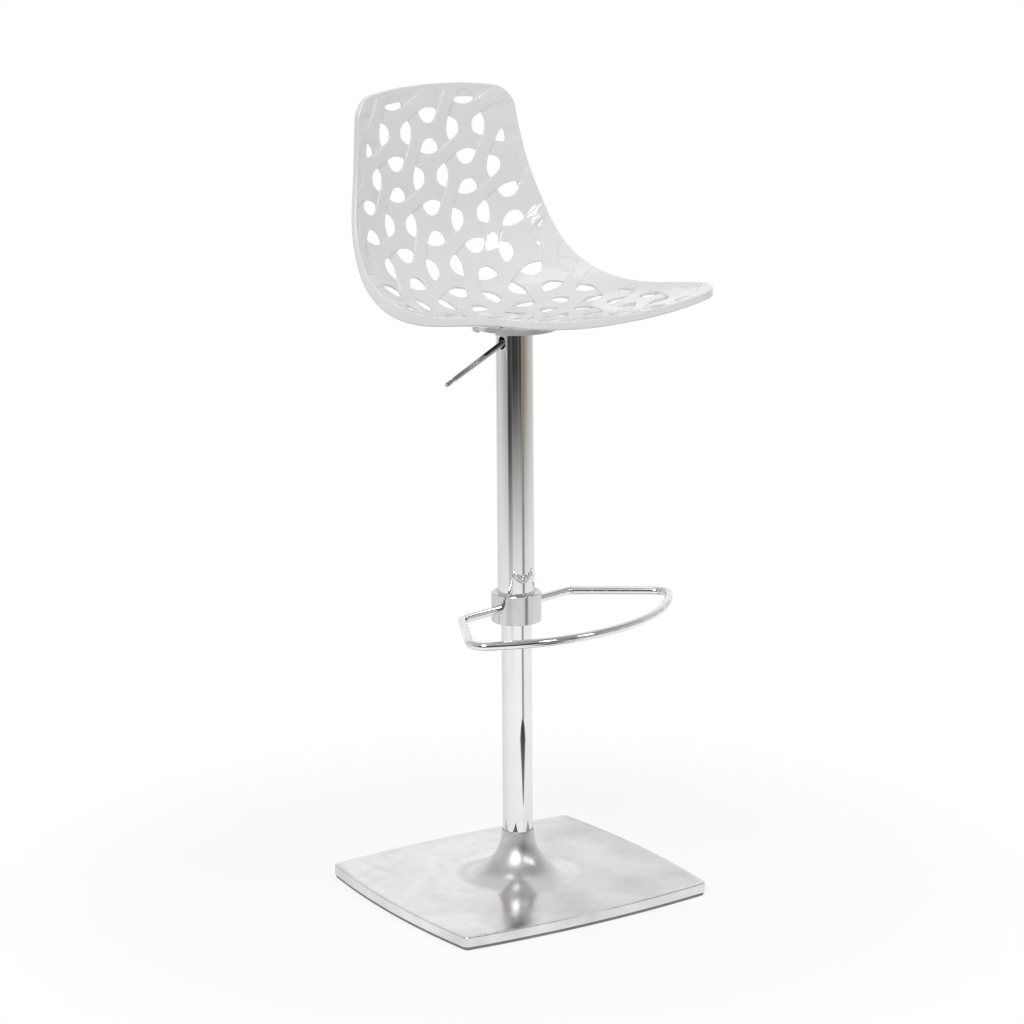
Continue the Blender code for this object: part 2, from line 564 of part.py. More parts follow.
hang_z = PLATE_BOTTOM - GAP
ear_in = LEVER_EYE_W / 2 + 2 * GAP
ear_out = ear_in + EAR_T
ear_x = (PIVOT_X - 2 * PIVOT_R, PIVOT_X + 2.2 * PIVOT_R)
ears = [box(*ear_x, *y, PIVOT_Z - 2.5 * PIVOT_R, hang_z) for y in ((ear_in, ear_out), (-ear_out, -ear_in))]
bridge = box(*ear_x, -ear_in - EAR_T / 2, ear_in + EAR_T / 2, hang_z - EAR_T, hang_z)
bracket = cut(fuse(bridge, *ears), axle(PIVOT_R + GAP, 2 * ear_out, PIVOT_X, PIVOT_Z))
place(bracket, "lever_bracket", "steel", CARRIAGE)
place(axle(PIVOT_R, ear_out + EAR_T / 2, PIVOT_X, PIVOT_Z), "lever_pivot_pin", "steel", CARRIAGE)

# Release lever: eye on the pivot, tongue over the valve pin and the handle through the slot
tongue_z = PIVOT_Z - 0.65 * LEVER_EYE_R
along = Vector((-LEVER_REACH, 0, -LEVER_FALL))
waist = LEVER_TIP_R * 0.8
widths = ((0.02, LEVER_R), (0.25, LEVER_R), (0.86, LEVER_R * 0.82), (0.88, waist), (0.905, waist),
          (0.925, LEVER_R * 0.8), (0.98, LEVER_R * 0.75), (1.0, LEVER_TIP_R * 0.7))
handle = bar([(along * share, radius) for share, radius in widths], LEVER_R, 12)
tongue_y = 0.6 * LEVER_R
tongue = box(0, 2 * VALVE_R - PIVOT_X, -tongue_y, tongue_y, tongue_z - PIVOT_Z, 0.7 * LEVER_EYE_R)
eye = fuse(axle(LEVER_EYE_R, LEVER_EYE_W / 2, 0, 0, 20), handle, tongue)
lever = cut(eye, axle(PIVOT_R + GAP, 2 * ear_out, 0, 0))
place(lever, "release_lever", "chrome", CARRIAGE, (PIVOT_X, 0, PIVOT_Z))
place(rod(VALVE_R, end_z - BUSH_RIM, tongue_z - GAP, 16), "valve_pin", "steel", CARRIAGE)


def spline(points, count=241):
    """Natural cubic spline through points, sampled evenly along its own length."""
    pts = np.array(points, float)
    for _ in range(2):
        knots = np.concatenate([[0], np.cumsum(np.linalg.norm(np.diff(pts, axis=0), axis=1))])
        n, h = len(pts), np.diff(knots)
        system, right = np.eye(n), np.zeros_like(pts)
        for i in range(1, n - 1):
            system[i, i - 1:i + 2] = h[i - 1], 2 * (h[i - 1] + h[i]), h[i]
            right[i] = 6 * ((pts[i + 1] - pts[i]) / h[i] - (pts[i] - pts[i - 1]) / h[i - 1])
        bend = np.linalg.solve(system, right)
        at = np.linspace(0, knots[-1], count)
        i = np.clip(np.searchsorted(knots, at, side="right") - 1, 0, n - 2)
        a, b, w = (knots[i + 1] - at)[:, None], (at - knots[i])[:, None], h[i][:, None]
        pts = ((bend[i] * a ** 3 + bend[i + 1] * b ** 3) / (6 * w) + (pts[i] / w - bend[i] * w / 6) * a
               + (pts[i + 1] / w - bend[i + 1] * w / 6) * b)
    return pts, knots[-1]


CENTRE, LENGTH = spline(PROFILE)
EDGE, _ = spline(RIM)
STATIONS = np.linspace(0, 1, len(CENTRE))


def sample(table, v):
    return np.array([np.interp(v, STATIONS, table[:, k]) for k in range(table.shape[1])])


def half_width(t):
    return float(np.interp(t / LENGTH, STATIONS, EDGE[:, 0]))


def on_shell(s, t, drop=0.0):
    """Point of the sitting surface at s across and t along the profile, dropped along its normal."""
    def point(s_, t_):
        v = min(max(t_ / LENGTH, 0.0), 1.0)
        c, e = sample(CENTRE, v), sample(EDGE, v)
        k = abs(s_ / e[0]) ** DISH_POWER
        extra = t_ - v * LENGTH
        tail = (CENTRE[1] - CENTRE[0]) if extra < 0 else (CENTRE[-1] - CENTRE[-2])
        y, z = c + (e[1:] - c) * k + tail / np.linalg.norm(tail) * extra
        return Vector((s_, y, z + SEAT_Z))
    here = point(s, t)
    if drop:
        d = 0.001
        normal = (point(s + d, t) - point(s - d, t)).cross(point(s, t + d) - point(s, t - d)).normalized()
        here = here - normal * drop
    return here


def half_outline(t, side, end, front_r, top_r):
    """Half width of the shell outline at t, set in by a side and an end band, with rounded corners."""
    low, high = t - end, LENGTH - end - t
    wide = half_width(t) - side
    for reach, radius in ((low, front_r), (high, top_r)):
        if reach < radius:
            wide -= radius - math.sqrt(max(radius ** 2 - (radius - reach) ** 2, 0.0))
    return wide


def side_band(t):
    return SIDE_BAND + WAIST_BAND * math.exp(-((t - WAIST_T) / WAIST_W) ** 2)


def lip_height(t):
    f = min(max((t - LIP_SWELL_T) / LIP_FADE, 0.0), 1.0)
    swell = LIP_SWELL * math.exp(-((t - LIP_SWELL_T) / LIP_SWELL_W) ** 2)
    return LIP_H + (LIP_BACK - LIP_H) * f * f * (3 - 2 * f) + swell


def opening():
    """One opening in pitch units: a dome towards the cell centre and a shallow bow on the cell edge."""
    dome = [(OPEN_HALF * f, OPEN_BULGE + (OPEN_FLAT - OPEN_BULGE) * abs(f) ** OPEN_POWER)
            for f in (-1.0, -0.82, -0.5, 0.0, 0.5, 0.82, 1.0)]
    return dome + [(OPEN_HALF * f, OPEN_FLAT + OPEN_BOW * (1 - f * f)) for f in (0.42, -0.42)]


def openings():
    """All through openings as loops in (s, t), clipped by the solid band along the rim."""
    loops = []
    rows = int(LENGTH / PITCH_T) + 1
    for row in range(-1, rows):
        for column in range(-3, 4):
            cs, ct = column * PITCH_S, ROW_T - row * PITCH_T
            for way in (1, -1):
                loop = []
                for a, b in opening():
                    s, t = (a, b * way) if (row + column) % 2 == 0 else (b * way, a)
                    s, t = s * PITCH_S + cs, t * PITCH_T + ct
                    t = min(max(t + ROW_RISE * s * s, END_BAND), LENGTH - END_BAND)
                    wide = half_outline(t, side_band(t), END_BAND, FRONT_CORNER, TOP_CORNER)
                    loop.append((min(max(s, -wide), wide), t))
                span = [max(p[k] for p in loop) - min(p[k] for p in loop) for k in (0, 1)]
                sides = list(zip(loop, loop[1:] + loop[:1]))
                area = abs(sum(p[0] * q[1] - q[0] * p[1] for p, q in sides)) / 2
                if min(span) > OPEN_MIN * 0.7 and max(span) > OPEN_MIN and area > OPEN_MIN ** 2 * 1.2:
                    loops.append([p for p, q in sides if math.dist(p, q) > 3 * GAP])
    return loops


def inside(loop, s, t):
    hit = False
    for (s0, t0), (s1, t1) in zip(loop, loop[1:] + loop[:1]):
        if (t0 > t) != (t1 > t) and s < (s1 - s0) * (t - t0) / (t1 - t0) + s0:
            hit = not hit
    return hit


def shell_outline():
    """Closed loop of the shell edge in (s, t)."""
    bends = [1 - math.cos(k * math.pi / 12) for k in range(7)]
    low = [FRONT_CORNER * f for f in bends]
    high = [LENGTH - TOP_CORNER * f for f in reversed(bends)]
    count = 16
    middle = [low[-1] + (high[0] - low[-1]) * k / count for k in range(1, count)]
    right = [(half_outline(t, 0, 0, FRONT_CORNER, TOP_CORNER), t) for t in low + middle + high]
    top = [(right[-1][0] * (1 - k / 6), LENGTH) for k in range(1, 12)]
    front = [(-right[0][0] * (1 - k / 6), 0.0) for k in range(1, 12)]
    return right + top + [(-s, t) for s, t in reversed(right)] + front


def shell_sheet():
    """Triangles of the perforated sheet in (s, t)."""
    outline, loops = shell_outline(), openings()
    coords, edges = [], []
    for loop in [outline] + loops:
        base = len(coords)
        coords += [Vector(p) for p in loop]
        edges += [(base + k, base + (k + 1) % len(loop)) for k in range(len(loop))]
    step = PITCH_S / 2.8
    clear = 0.43 * step
    for row in range(1, int(LENGTH / step)):
        t = row * step
        wide = half_outline(t, SIDE_BAND / 2, SIDE_BAND / 2, FRONT_CORNER, TOP_CORNER)
        for k in range(-9, 10):
            s = (k + 0.5 * (row % 2)) * step
            near = min(math.dist((s, t), p) for loop in loops for p in loop)
            if abs(s) < wide and near > clear and not any(inside(loop, s, t) for loop in loops):
                coords.append(Vector((s, t)))
    verts, _, faces = delaunay_2d_cdt(coords, edges, [], 1, 1e-6)[:3]
    keep = []
    for face in faces:
        s, t = (sum(verts[k][axis] for k in face) / 3 for axis in (0, 1))
        if not any(inside(loop, s, t) for loop in loops):
            keep.append(face)
    return verts, keep


def seat_shell():
    verts, faces = shell_sheet()
    bm = bmesh.new()
    top = [bm.verts.new(on_shell(v.x, v.y)) for v in verts]
    flat = {vert: verts[k] for k, vert in enumerate(top)}
    for face in faces:
        bm.faces.new([top[k] for k in face])
    loose = [v for v in bm.verts if not v.link_faces]
    bmesh.ops.delete(bm, geom=loose, context="VERTS")

    def on_edge(vert):
        s, t = flat[vert]
        wide = half_outline(t, 0, 0, FRONT_CORNER, TOP_CORNER)
        return abs(s) > wide - 1e-5 or t < 1e-5 or t > LENGTH - 1e-5

    rim = [e for e in bm.edges if e.is_boundary and all(on_edge(v) for v in e.verts)]
    foot = {v: on_shell(*flat[v], lip_height(flat[v].y)) for e in rim for v in e.verts}
    made = bmesh.ops.extrude_edge_only(bm, edges=rim)["geom"]
    home = {v.co.copy().freeze(): below for v, below in foot.items()}
    for vert in (g for g in made if isinstance(g, bmesh.types.BMVert)):
        vert.co = home[vert.co.copy().freeze()]
    bmesh.ops.recalc_face_normals(bm, faces=bm.faces)
    if sum(f.normal.z * f.calc_area() for f in bm.faces) < 0:
        bmesh.ops.reverse_faces(bm, faces=bm.faces)
    mesh = bpy.data.meshes.new("sheet")
    bm.to_mesh(mesh)
    bm.free()
    ob = bpy.data.objects.new("sheet", mesh)
    TOOLS.objects.link(ob)
    wall = ob.modifiers.new("wall", "SOLIDIFY")
    wall.thickness, wall.offset, wall.use_even_offset, wall.use_quality_normals = SHELL_T, -1.0, True, True
    return settle(ob)


place(seat_shell(), "seat_shell", "white", CARRIAGE)


def seat_adapter():
    """Round pad whose top follows the underside of the shell and whose skirt surrounds the plate."""
    over_column = LENGTH * float(np.interp(0.0, CENTRE[:, 0], STATIONS))
    bm = bmesh.new()
    inner, outer = ([bm.verts.new((x, y, 0)) for x, y in around(r, 32)] for r in (ADAPTER_R / 2, ADAPTER_R))
    middle = bm.verts.new((0, 0, 0))
    for k, vert in enumerate(inner):
        bm.faces.new((middle, inner[k - 1], vert))
        bm.faces.new((inner[k - 1], outer[k - 1], outer[k], vert))
    up = bmesh.ops.extrude_face_region(bm, geom=list(bm.faces))["geom"]
    raised = {v for v in up if isinstance(v, bmesh.types.BMVert)}
    for vert in bm.verts:
        if vert in raised:
            vert.co = on_shell(vert.co.x, over_column + vert.co.y, SHELL_T + 2 * GAP)
        else:
            vert.co.z = ADAPTER_BOTTOM - SKIRT_FALL
    return from_bmesh(bm)


insert_z = ADAPTER_BOTTOM + INSERT_L
pockets = [shift(rod(INSERT_R + GAP, PLATE_BOTTOM, insert_z + GAP, 8), x, y) for x, y in bolt_xy]
skirt_z = ADAPTER_BOTTOM - SKIRT_FALL
recess = rod(PLATE_R + 3 * GAP, skirt_z - OVER, ADAPTER_BOTTOM, 32)
notch = box(-ADAPTER_R - OVER, -PLATE_R / 2, -NOTCH_HALF, NOTCH_HALF, skirt_z - OVER, skirt_z + NOTCH_H)
place(cut(seat_adapter(), recess, notch, *pockets), "seat_adapter", "white", CARRIAGE)
insert = ring(M6_R + GAP, INSERT_R, ADAPTER_BOTTOM + GAP, insert_z, 8)
place_copies(insert, "thread_insert", "brass", CARRIAGE, bolt_xy)


def pan_screw(z1):
    """Screw with a low head under the seat plate."""
    screw = lathe([(0, z1), (M6_R, z1), (M6_R, hang_z), (M6_HEAD_R, hang_z),
                   (M6_HEAD_R - 0.4 * M6_HEAD_H, hang_z - M6_HEAD_H), (0, hang_z - M6_HEAD_H)], 8)
    return cut(screw, rod(M6_R * 0.7, hang_z - OVER, hang_z - 0.4 * M6_HEAD_H, 6))


place_copies(pan_screw(insert_z - 2 * GAP), "seat_screw", "zinc", CARRIAGE, bolt_xy)
bpy.context.view_layer.update()
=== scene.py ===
"""Pedestal bar stool: its looks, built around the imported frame.

Metres, +Z up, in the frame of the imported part: the seat faces -Y and the release lever points to -X.
"""
import json
import math

import bmesh
import bpy
import numpy as np
from mathutils import Matrix, Vector
from mathutils.geometry import delaunay_2d_cdt
from mathutils.kdtree import KDTree


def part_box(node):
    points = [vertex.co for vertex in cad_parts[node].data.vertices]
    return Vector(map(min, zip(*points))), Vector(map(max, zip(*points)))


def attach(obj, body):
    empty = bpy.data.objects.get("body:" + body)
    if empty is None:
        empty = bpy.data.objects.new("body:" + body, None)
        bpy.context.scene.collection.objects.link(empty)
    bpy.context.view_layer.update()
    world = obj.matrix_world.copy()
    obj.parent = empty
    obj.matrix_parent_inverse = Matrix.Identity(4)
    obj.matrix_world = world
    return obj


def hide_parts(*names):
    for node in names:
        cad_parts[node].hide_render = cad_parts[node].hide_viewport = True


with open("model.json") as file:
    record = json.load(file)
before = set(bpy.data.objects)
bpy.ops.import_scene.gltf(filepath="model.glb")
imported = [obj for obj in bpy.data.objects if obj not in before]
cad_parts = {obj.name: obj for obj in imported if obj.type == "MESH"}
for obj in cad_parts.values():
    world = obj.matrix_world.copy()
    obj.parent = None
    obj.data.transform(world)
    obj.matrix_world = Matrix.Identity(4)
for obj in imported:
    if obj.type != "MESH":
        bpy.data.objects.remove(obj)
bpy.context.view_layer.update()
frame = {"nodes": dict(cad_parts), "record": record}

# Camera, solved from the photograph
CAM_HEADING, CAM_PITCH = 0.8172, 0.2238
CAM_YAW, CAM_ROLL = -0.0012, -0.0074
CAM_PLACE = (-2.987, -2.803, 1.4707)
CAM_LENS, CAM_SENSOR = 108.1, 36.0

# Seat shell: centre profile (y, z) from the front edge to the top edge, and the right rim (x, y, z), with z
# measured from the middle of the seat
SEAT_LIFT = 0.0135
PROFILE = [(-0.200, 0.023), (-0.140, 0.010), (-0.080, 0.003), (0.0, 0.0), (0.059, 0.0045), (0.108, 0.0275),
           (0.136, 0.068), (0.149, 0.114), (0.154, 0.177), (0.157, 0.240), (0.160, 0.302)]
RIM = [(0.200, -0.203, 0.041), (0.202, -0.139, 0.0375), (0.205, -0.041, 0.0295), (0.203, 0.020, 0.0375),
       (0.196, 0.078, 0.068), (0.182, 0.114, 0.132), (0.1685, 0.1255, 0.178), (0.148, 0.140, 0.290)]
DISH_POWER = 2.3
SHELL_T = 0.0045
LIP_H, LIP_BACK, LIP_FADE = 0.0107, 0.0070, 0.15              # lip round the seat, round the back, between
LIP_SWELL, LIP_SWELL_T, LIP_SWELL_W = 0.0055, 0.252, 0.080    # deeper lip beside the hollow of the seat
LIP_IN, LIP_OUT = 0.0040, 0.0056          # inset of the lip's inner face, at its foot and at its root
FRONT_CORNER, TOP_CORNER = 0.045, 0.030
SIDE_BAND, END_BAND = 0.025, 0.0195
WAIST_BAND, WAIST_T, WAIST_W = 0.015, 0.360, 0.030            # wider band where the seat turns into the back
RIM_ROUND, HOLE_ROUND = 0.0018, 0.0008
# On its hidden side the wall thickens towards the openings of the seat and thins towards those of the back
SEAT_HOLE_T, BACK_HOLE_T, HOLE_TAPER = 0.0072, 0.0020, 0.0042
THICK_FROM, THICK_TO = 0.13, 0.09
TAPER_FROM, TAPER_TO = 0.31, 0.37

# Openwork: D-shaped openings in pairs, each pair turned a quarter from its neighbours
PITCH_S, PITCH_T = 0.068, 0.0632
ROW_T, ROW_RISE = 0.539, 0.43
COLUMNS = 3
OPEN_HALF, OPEN_FLAT, OPEN_BULGE, OPEN_BOW = 0.27, 0.425, 0.168, 0.0775    # shares of a pitch
OPEN_POWER = 2.75
OPEN_MIN = 0.0095                         # least length of an opening cut off by the rim

# Relief: one set of bands passes over the other, and blind recesses carry the pattern into the solid rim
STEP_HALF, STEP_DEPTH, DIP_REACH, DIP_FADE = 0.00045, 0.0013, 0.013, 0.008
STEP_ASIDE = 0.0009                       # distance of the step from the tips that it passes
RECESS_DEPTH, RECESS_STEP, RECESS_FADE = 0.0010, 0.0010, 0.012
RECESS_MIN = 4.0e-5                       # least area of a recess
MITRE_MIN = 0.6                           # holds back the corners of a shifted loop
# Points that fill the sheet: spacing, shares of it for rows and for clearance, and points either side
GRID, GRID_ROW, GRID_CLEAR, GRID_SIDE = 0.0065, 0.866, 0.35, 34

SEAT_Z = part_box("seat_plate")[1].z + SEAT_LIFT

# Base
BASE_TURN = math.radians(-14.2)
BASE_HALF_X, BASE_HALF_Y = 0.2094, 0.1904
BASE_BOW, BASE_CORNER, BASE_EDGE_TOP = 0.011, 0.010, 0.0188
EDGE_ROUND, CASTING_T, GAP = 0.0016, 0.0055, 0.0003
BASE_EASE = 0.0002                        # keeps the finely rounded corners inside the CAD box
GASKET_W, GASKET_INSET = 0.009, 0.002
HOLLOW_INSET = 0.0098
FLARE_FOOT_R, FLARE_FOOT_Z, FLARE_LIP_T, FLARE_POWER = 0.100, 0.0212, 0.0014, 2.3
BOSS_R, BOSS_BORE, BOSS_PLACE = 0.009, 0.003, 0.74

# Column
TUBE_R, TUBE_WALL, TUBE_EDGE = 0.0208, 0.0025, 0.0006
SLEEVE_R, SLEEVE_WALL, SLEEVE_EDGE = 0.0255, 0.002, 0.0004
COLLAR_R, COLLAR_FLANGE_T, COLLAR_LEAD = 0.0345, 0.0067, 0.0024
COLLAR_PLAY, GRUB_R = 0.0012, 0.0028
SLOT_H, SLOT_W, SLOT_DROP = 0.018, 0.0125, 0.0172
ROUND_STEPS, TUBE_LEVELS = 96, 24
OVERRUN = 0.01                            # of a cutter past the face that it cuts

# Release lever, from its pivot
PIVOT_X, PIVOT_DROP, PIVOT_R = -0.0165, 0.0152, 0.002
LEVER_REACH, LEVER_FALL = 0.1165, 0.0455
LEVER_R, LEVER_TIP_R, EYE_R, EYE_W = 0.0040, 0.0027, 0.0042, 0.008
LEVER_TIP_AT = 0.960                      # where the rounding of the tip starts, as a share of the length
TONGUE_PAST, TONGUE_EDGE = 0.004, 0.0004  # reach past the column's axis, and bevel
TONGUE_LOW, TONGUE_HIGH, TONGUE_WIDE = -0.50, 0.7, 1.2    # shares of the eye's and the rod's radius

# Footrest loop (rod centre line)
FOOT_Z, FOOT_R, FOOT_SOCKET = 0.4073, 0.00575, 0.0055
FOOT_BACK_X, FOOT_FRONT_X = 0.108, 0.199
FOOT_APEX_Y, FOOT_ARC_R = -0.188, 0.279
FOOT_BACK_BEND, FOOT_FRONT_BEND = 0.020, 0.023


# Materials

def feed(tree, node, inputs):
    """Set a node's inputs to values or link them to sockets."""
    for key, value in inputs.items():
        if isinstance(value, bpy.types.NodeSocket):
            tree.links.new(value, node.inputs[key])
        else:
            node.inputs[key].default_value = value


def add(tree, kind, inputs=None, **settings):
    """A new shader node with its settings and inputs."""
    node = tree.nodes.new("ShaderNode" + kind)
    for key, value in settings.items():
        setattr(node, key, value)
    feed(tree, node, inputs or {})
    return node


def spread(tree, source, low, high, start=0.3, end=0.7):
    """Map a factor smoothly onto a number range."""
    limits = {"Value": source, "From Min": start, "From Max": end, "To Min": low, "To Max": high}
    return add(tree, "MapRange", limits, interpolation_type="SMOOTHSTEP").outputs["Result"]


def number(tree, operation, *values):
    """Result of a Math node for values or sockets."""
    return add(tree, "Math", dict(enumerate(values)), operation=operation).outputs["Value"]


def scaled(tree, colour, factor):
    return add(tree, "VectorMath", {0: colour, "Scale": factor}, operation="SCALE").outputs["Vector"]


def mixed(tree, factor, a, b):
    """Mix of two colours."""
    return add(tree, "Mix", {"Factor": factor, 6: a, 7: b}, data_type="RGBA").outputs[2]


def tint(tree, source, *stops):
    """Colour ramp over a factor, from (place, colour) stops."""
    node = add(tree, "ValToRGB", {"Fac": source})
    ramp = node.color_ramp
    while len(ramp.elements) < len(stops):
        ramp.elements.new(1.0)
    for element, (place, colour) in zip(ramp.elements, stops):
        element.position, element.color = place, (*colour, 1.0)
    return node.outputs["Color"]


def grey(tree, source, stops):
    """Grey ramp over a factor, from (place, tone) stops."""
    return tint(tree, source, *[(place, (tone,) * 3) for place, tone in stops])


def stretched(tree, scale):
    """Object coordinates scaled per axis, for grain that runs one way."""
    place = add(tree, "TexCoord").outputs["Object"]
    return add(tree, "Mapping", {"Vector": place, "Scale": scale}).outputs["Vector"]


def noise(tree, vector, scale, detail=3.0, rough=0.55):
    settings = {"Vector": vector, "Scale": scale, "Detail": detail, "Roughness": rough}
    return add(tree, "TexNoise", settings).outputs["Fac"]


# Pits of a casting: cells, their dark middle, and the patches that have them
PIT_SCALE, PIT_IN, PIT_OUT, PIT_TONE = 160.0, 0.04, 0.10, 0.35
PATCH_SCALE, PATCH_FROM, PATCH_TO = 60.0, 0.58, 0.66


def finish(name, colours, rough, cloud, fine, bump, smudge, metal=0.0, grain=(1, 1, 1), coat=0.0, pits=0.0,
           above=None):
    """A surface with clouded colour, smudged gloss and a grain, given by its scale and depth.

    Pits are for castings. Above adds roughness from a lower to an upper height.
    """
    mat = bpy.data.materials.new(name)
    mat.use_nodes = True
    tree = mat.node_tree
    place = stretched(tree, (1, 1, 1))
    clouds = noise(tree, place, cloud, 4.0, 0.6)
    colour = tint(tree, clouds, (0.30, colours[0]), (0.70, colours[1]))
    marks = noise(tree, place, smudge, 5.0, 0.65)
    gloss = spread(tree, marks, rough[0], rough[1])
    if above:
        low, high, more = above
        level = add(tree, "SeparateXYZ", {"Vector": place}).outputs["Z"]
        gloss = number(tree, "ADD", gloss, spread(tree, level, 0.0, more, low, high))
    height = noise(tree, stretched(tree, grain), fine, 2.0, 0.5)
    if pits:
        spots = add(tree, "TexVoronoi", {"Vector": place, "Scale": PIT_SCALE, "Randomness": 1.0})
        dots = spread(tree, spots.outputs["Distance"], 1.0, 0.0, PIT_IN, PIT_OUT)
        few = spread(tree, noise(tree, place, PATCH_SCALE, 2.0), 0.0, 1.0, PATCH_FROM, PATCH_TO)
        hole = number(tree, "MULTIPLY", dots, few)
        dark = tuple(PIT_TONE * part for part in colours[0])
        colour = mixed(tree, hole, colour, (*dark, 1.0))
        height = number(tree, "MULTIPLY_ADD", hole, -pits, height)
    normal = add(tree, "Bump", {"Height": height, "Strength": 0.5, "Distance": bump}).outputs["Normal"]
    feed(tree, tree.nodes["Principled BSDF"], {
        "Base Color": colour, "Metallic": metal, "Roughness": gloss, "IOR": 1.5, "Specular IOR Level": 0.5,
        "Coat Weight": coat, "Coat Roughness": 0.04, "Normal": normal})
    return mat


GLOSS_WHITE = finish("gloss_white_plastic", ((0.785, 0.775, 0.775), (0.805, 0.795, 0.795)), (0.05, 0.09),
                     cloud=5.0, fine=260.0, bump=0.00001, smudge=22.0, coat=0.3)
CHROME = finish("chrome_plate", ((0.80, 0.79, 0.785), (0.86, 0.855, 0.85)), (0.018, 0.040), metal=1.0,
                cloud=14.0, grain=(1, 1, 0.05), fine=700.0, bump=0.000003, smudge=18.0)
SATIN = finish("satin_aluminium_casting", ((0.63, 0.626, 0.622), (0.85, 0.847, 0.843)), (0.14, 0.28),
               metal=1.0, cloud=11.0, fine=900.0, bump=0.00001, smudge=12.0, above=(0.0215, 0.052, 0.20))
DARK_CHROME = finish("dark_chrome_plate", ((0.40, 0.395, 0.39), (0.48, 0.475, 0.47)), (0.018, 0.045),
                     metal=1.0, cloud=14.0, fine=700.0, bump=0.000003, smudge=18.0)
COLLAR_METAL = finish("polished_aluminium", ((0.66, 0.655, 0.65), (0.74, 0.735, 0.73)), (0.10, 0.16),
                      metal=1.0, cloud=20.0, grain=(1, 1, 6), fine=260.0, bump=0.00001, smudge=40.0)
RUBBER = finish("grey_rubber", ((0.30, 0.30, 0.30), (0.38, 0.38, 0.38)), (0.62, 0.80), cloud=40.0,
                fine=1500.0, bump=0.00006, smudge=90.0)
BLACK_RUBBER = finish("black_rubber", ((0.020, 0.020, 0.022), (0.034, 0.034, 0.036)), (0.55, 0.75),
                      cloud=60.0, fine=1600.0, bump=0.00005, smudge=120.0)
IRON = finish("coated_iron", ((0.045, 0.045, 0.048), (0.075, 0.075, 0.08)), (0.45, 0.65), metal=0.3,
              cloud=25.0, fine=500.0, bump=0.0002, smudge=50.0, pits=1.0)
BLACK_PLATE = finish("powder_coated_plate", ((0.030, 0.030, 0.033), (0.045, 0.045, 0.048)), (0.42, 0.55),
                     cloud=30.0, fine=1400.0, bump=0.00015, smudge=60.0)
STEEL = finish("ground_steel", ((0.40, 0.41, 0.42), (0.52, 0.53, 0.54)), (0.24, 0.40), metal=1.0, cloud=50.0,
               grain=(1, 1, 14), fine=180.0, bump=0.00003, smudge=80.0)
ZINC = finish("zinc_plate", ((0.54, 0.55, 0.50), (0.66, 0.67, 0.63)), (0.22, 0.38), metal=1.0, cloud=120.0,
              fine=900.0, bump=0.00003, smudge=150.0)
NYLON = finish("moulded_nylon", ((0.045, 0.045, 0.050), (0.070, 0.070, 0.075)), (0.35, 0.50), cloud=30.0,
               fine=1100.0, bump=0.00008, smudge=70.0)
BRASS = finish("knurled_brass", ((0.62, 0.45, 0.17), (0.76, 0.58, 0.27)), (0.20, 0.36), metal=1.0,
               cloud=90.0, grain=(4, 4, 1), fine=500.0, bump=0.0001, smudge=120.0)
BY_SLOT = {"white_plastic": GLOSS_WHITE, "chrome": CHROME, "satin_aluminium": SATIN, "rubber": BLACK_RUBBER,
           "iron": IRON, "black_plate": BLACK_PLATE, "steel": STEEL, "zinc": ZINC, "nylon": NYLON,
           "brass": BRASS}

for entry in frame["record"]["subparts"]:
    node = frame["nodes"][entry["node"]]
    node.data.materials.clear()
    node.data.materials.append(BY_SLOT[entry["material_slot"]])


# Building blocks

def placed(name, data):
    """A new object in the scene."""
    ob = bpy.data.objects.new(name, data)
    bpy.context.scene.collection.objects.link(ob)
    return ob


def piece(name, mesh, material):
    """An object of the scene from a finished mesh."""
    mesh.name = name
    mesh.materials.clear()
    mesh.materials.append(material)
    return placed(name, mesh)


def stand_for(ob, body, node):
    """Let a piece ride on its body in place of a CAD node."""
    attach(ob, body)
    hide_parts(node)


def settled(ob):
    """The mesh of an object with its modifiers applied; the object goes."""
    bpy.context.view_layer.update()
    mesh = bpy.data.meshes.new_from_object(ob.evaluated_get(bpy.context.evaluated_depsgraph_get()))
    mesh.transform(ob.matrix_world)
    bpy.data.objects.remove(ob, do_unlink=True)
    return mesh


def from_bmesh(bm, angle=35.0):
    bmesh.ops.recalc_face_normals(bm, faces=bm.faces)
    mesh = bpy.data.meshes.new("body")
    bm.to_mesh(mesh)
    bm.free()
    mesh.shade_smooth()
    mesh.set_sharp_from_angle(angle=math.radians(angle))
    return mesh


def rings(loops, closed=True, caps=False):
    """Skin of quads over loops of equal length, joined end to end when closed."""
    bm = bmesh.new()
    rows = [[bm.verts.new(p) for p in loop] for loop in loops]
    count = len(loops[0])
    pairs = list(zip(rows, rows[1:])) + ([(rows[-1], rows[0])] if closed else [])
    for a, b in pairs:
        for k in range(count):
            j = (k + 1) % count
            bm.faces.new((a[k], a[j], b[j], b[k]))
    if caps:
        bm.faces.new(rows[0])
        bm.faces.new(rows[-1])
    return bm


def rounded(profile, radii, steps=5):
    """Corners of a closed (r, z) outline turned into arcs."""
    out = []
    for k, point in enumerate(profile):
        at, radius = Vector(point), radii[k]
        before, after = Vector(profile[k - 1]), Vector(profile[(k + 1) % len(profile)])
        if not radius:
            out.append(tuple(at))
            continue
        out += [tuple(p) for p in bend(before, at, after, radius, steps)]
    return out


def bend(before, at, after, radius, steps):
    """Points of an arc of the given radius at a corner of a polyline."""
    a, b = (before - at).normalized(), (after - at).normalized()
    half = a.angle(b) / 2
    reach = radius / math.tan(half)
    centre = at + (a + b).normalized() * (radius / math.sin(half))
    start, end = at + a * reach - centre, at + b * reach - centre
    sweep = start.angle(end)
    weights = [(math.sin((1 - k / steps) * sweep), math.sin(k / steps * sweep)) for k in range(steps + 1)]
    return [centre + (start * w0 + end * w1) / math.sin(sweep) for w0, w1 in weights]


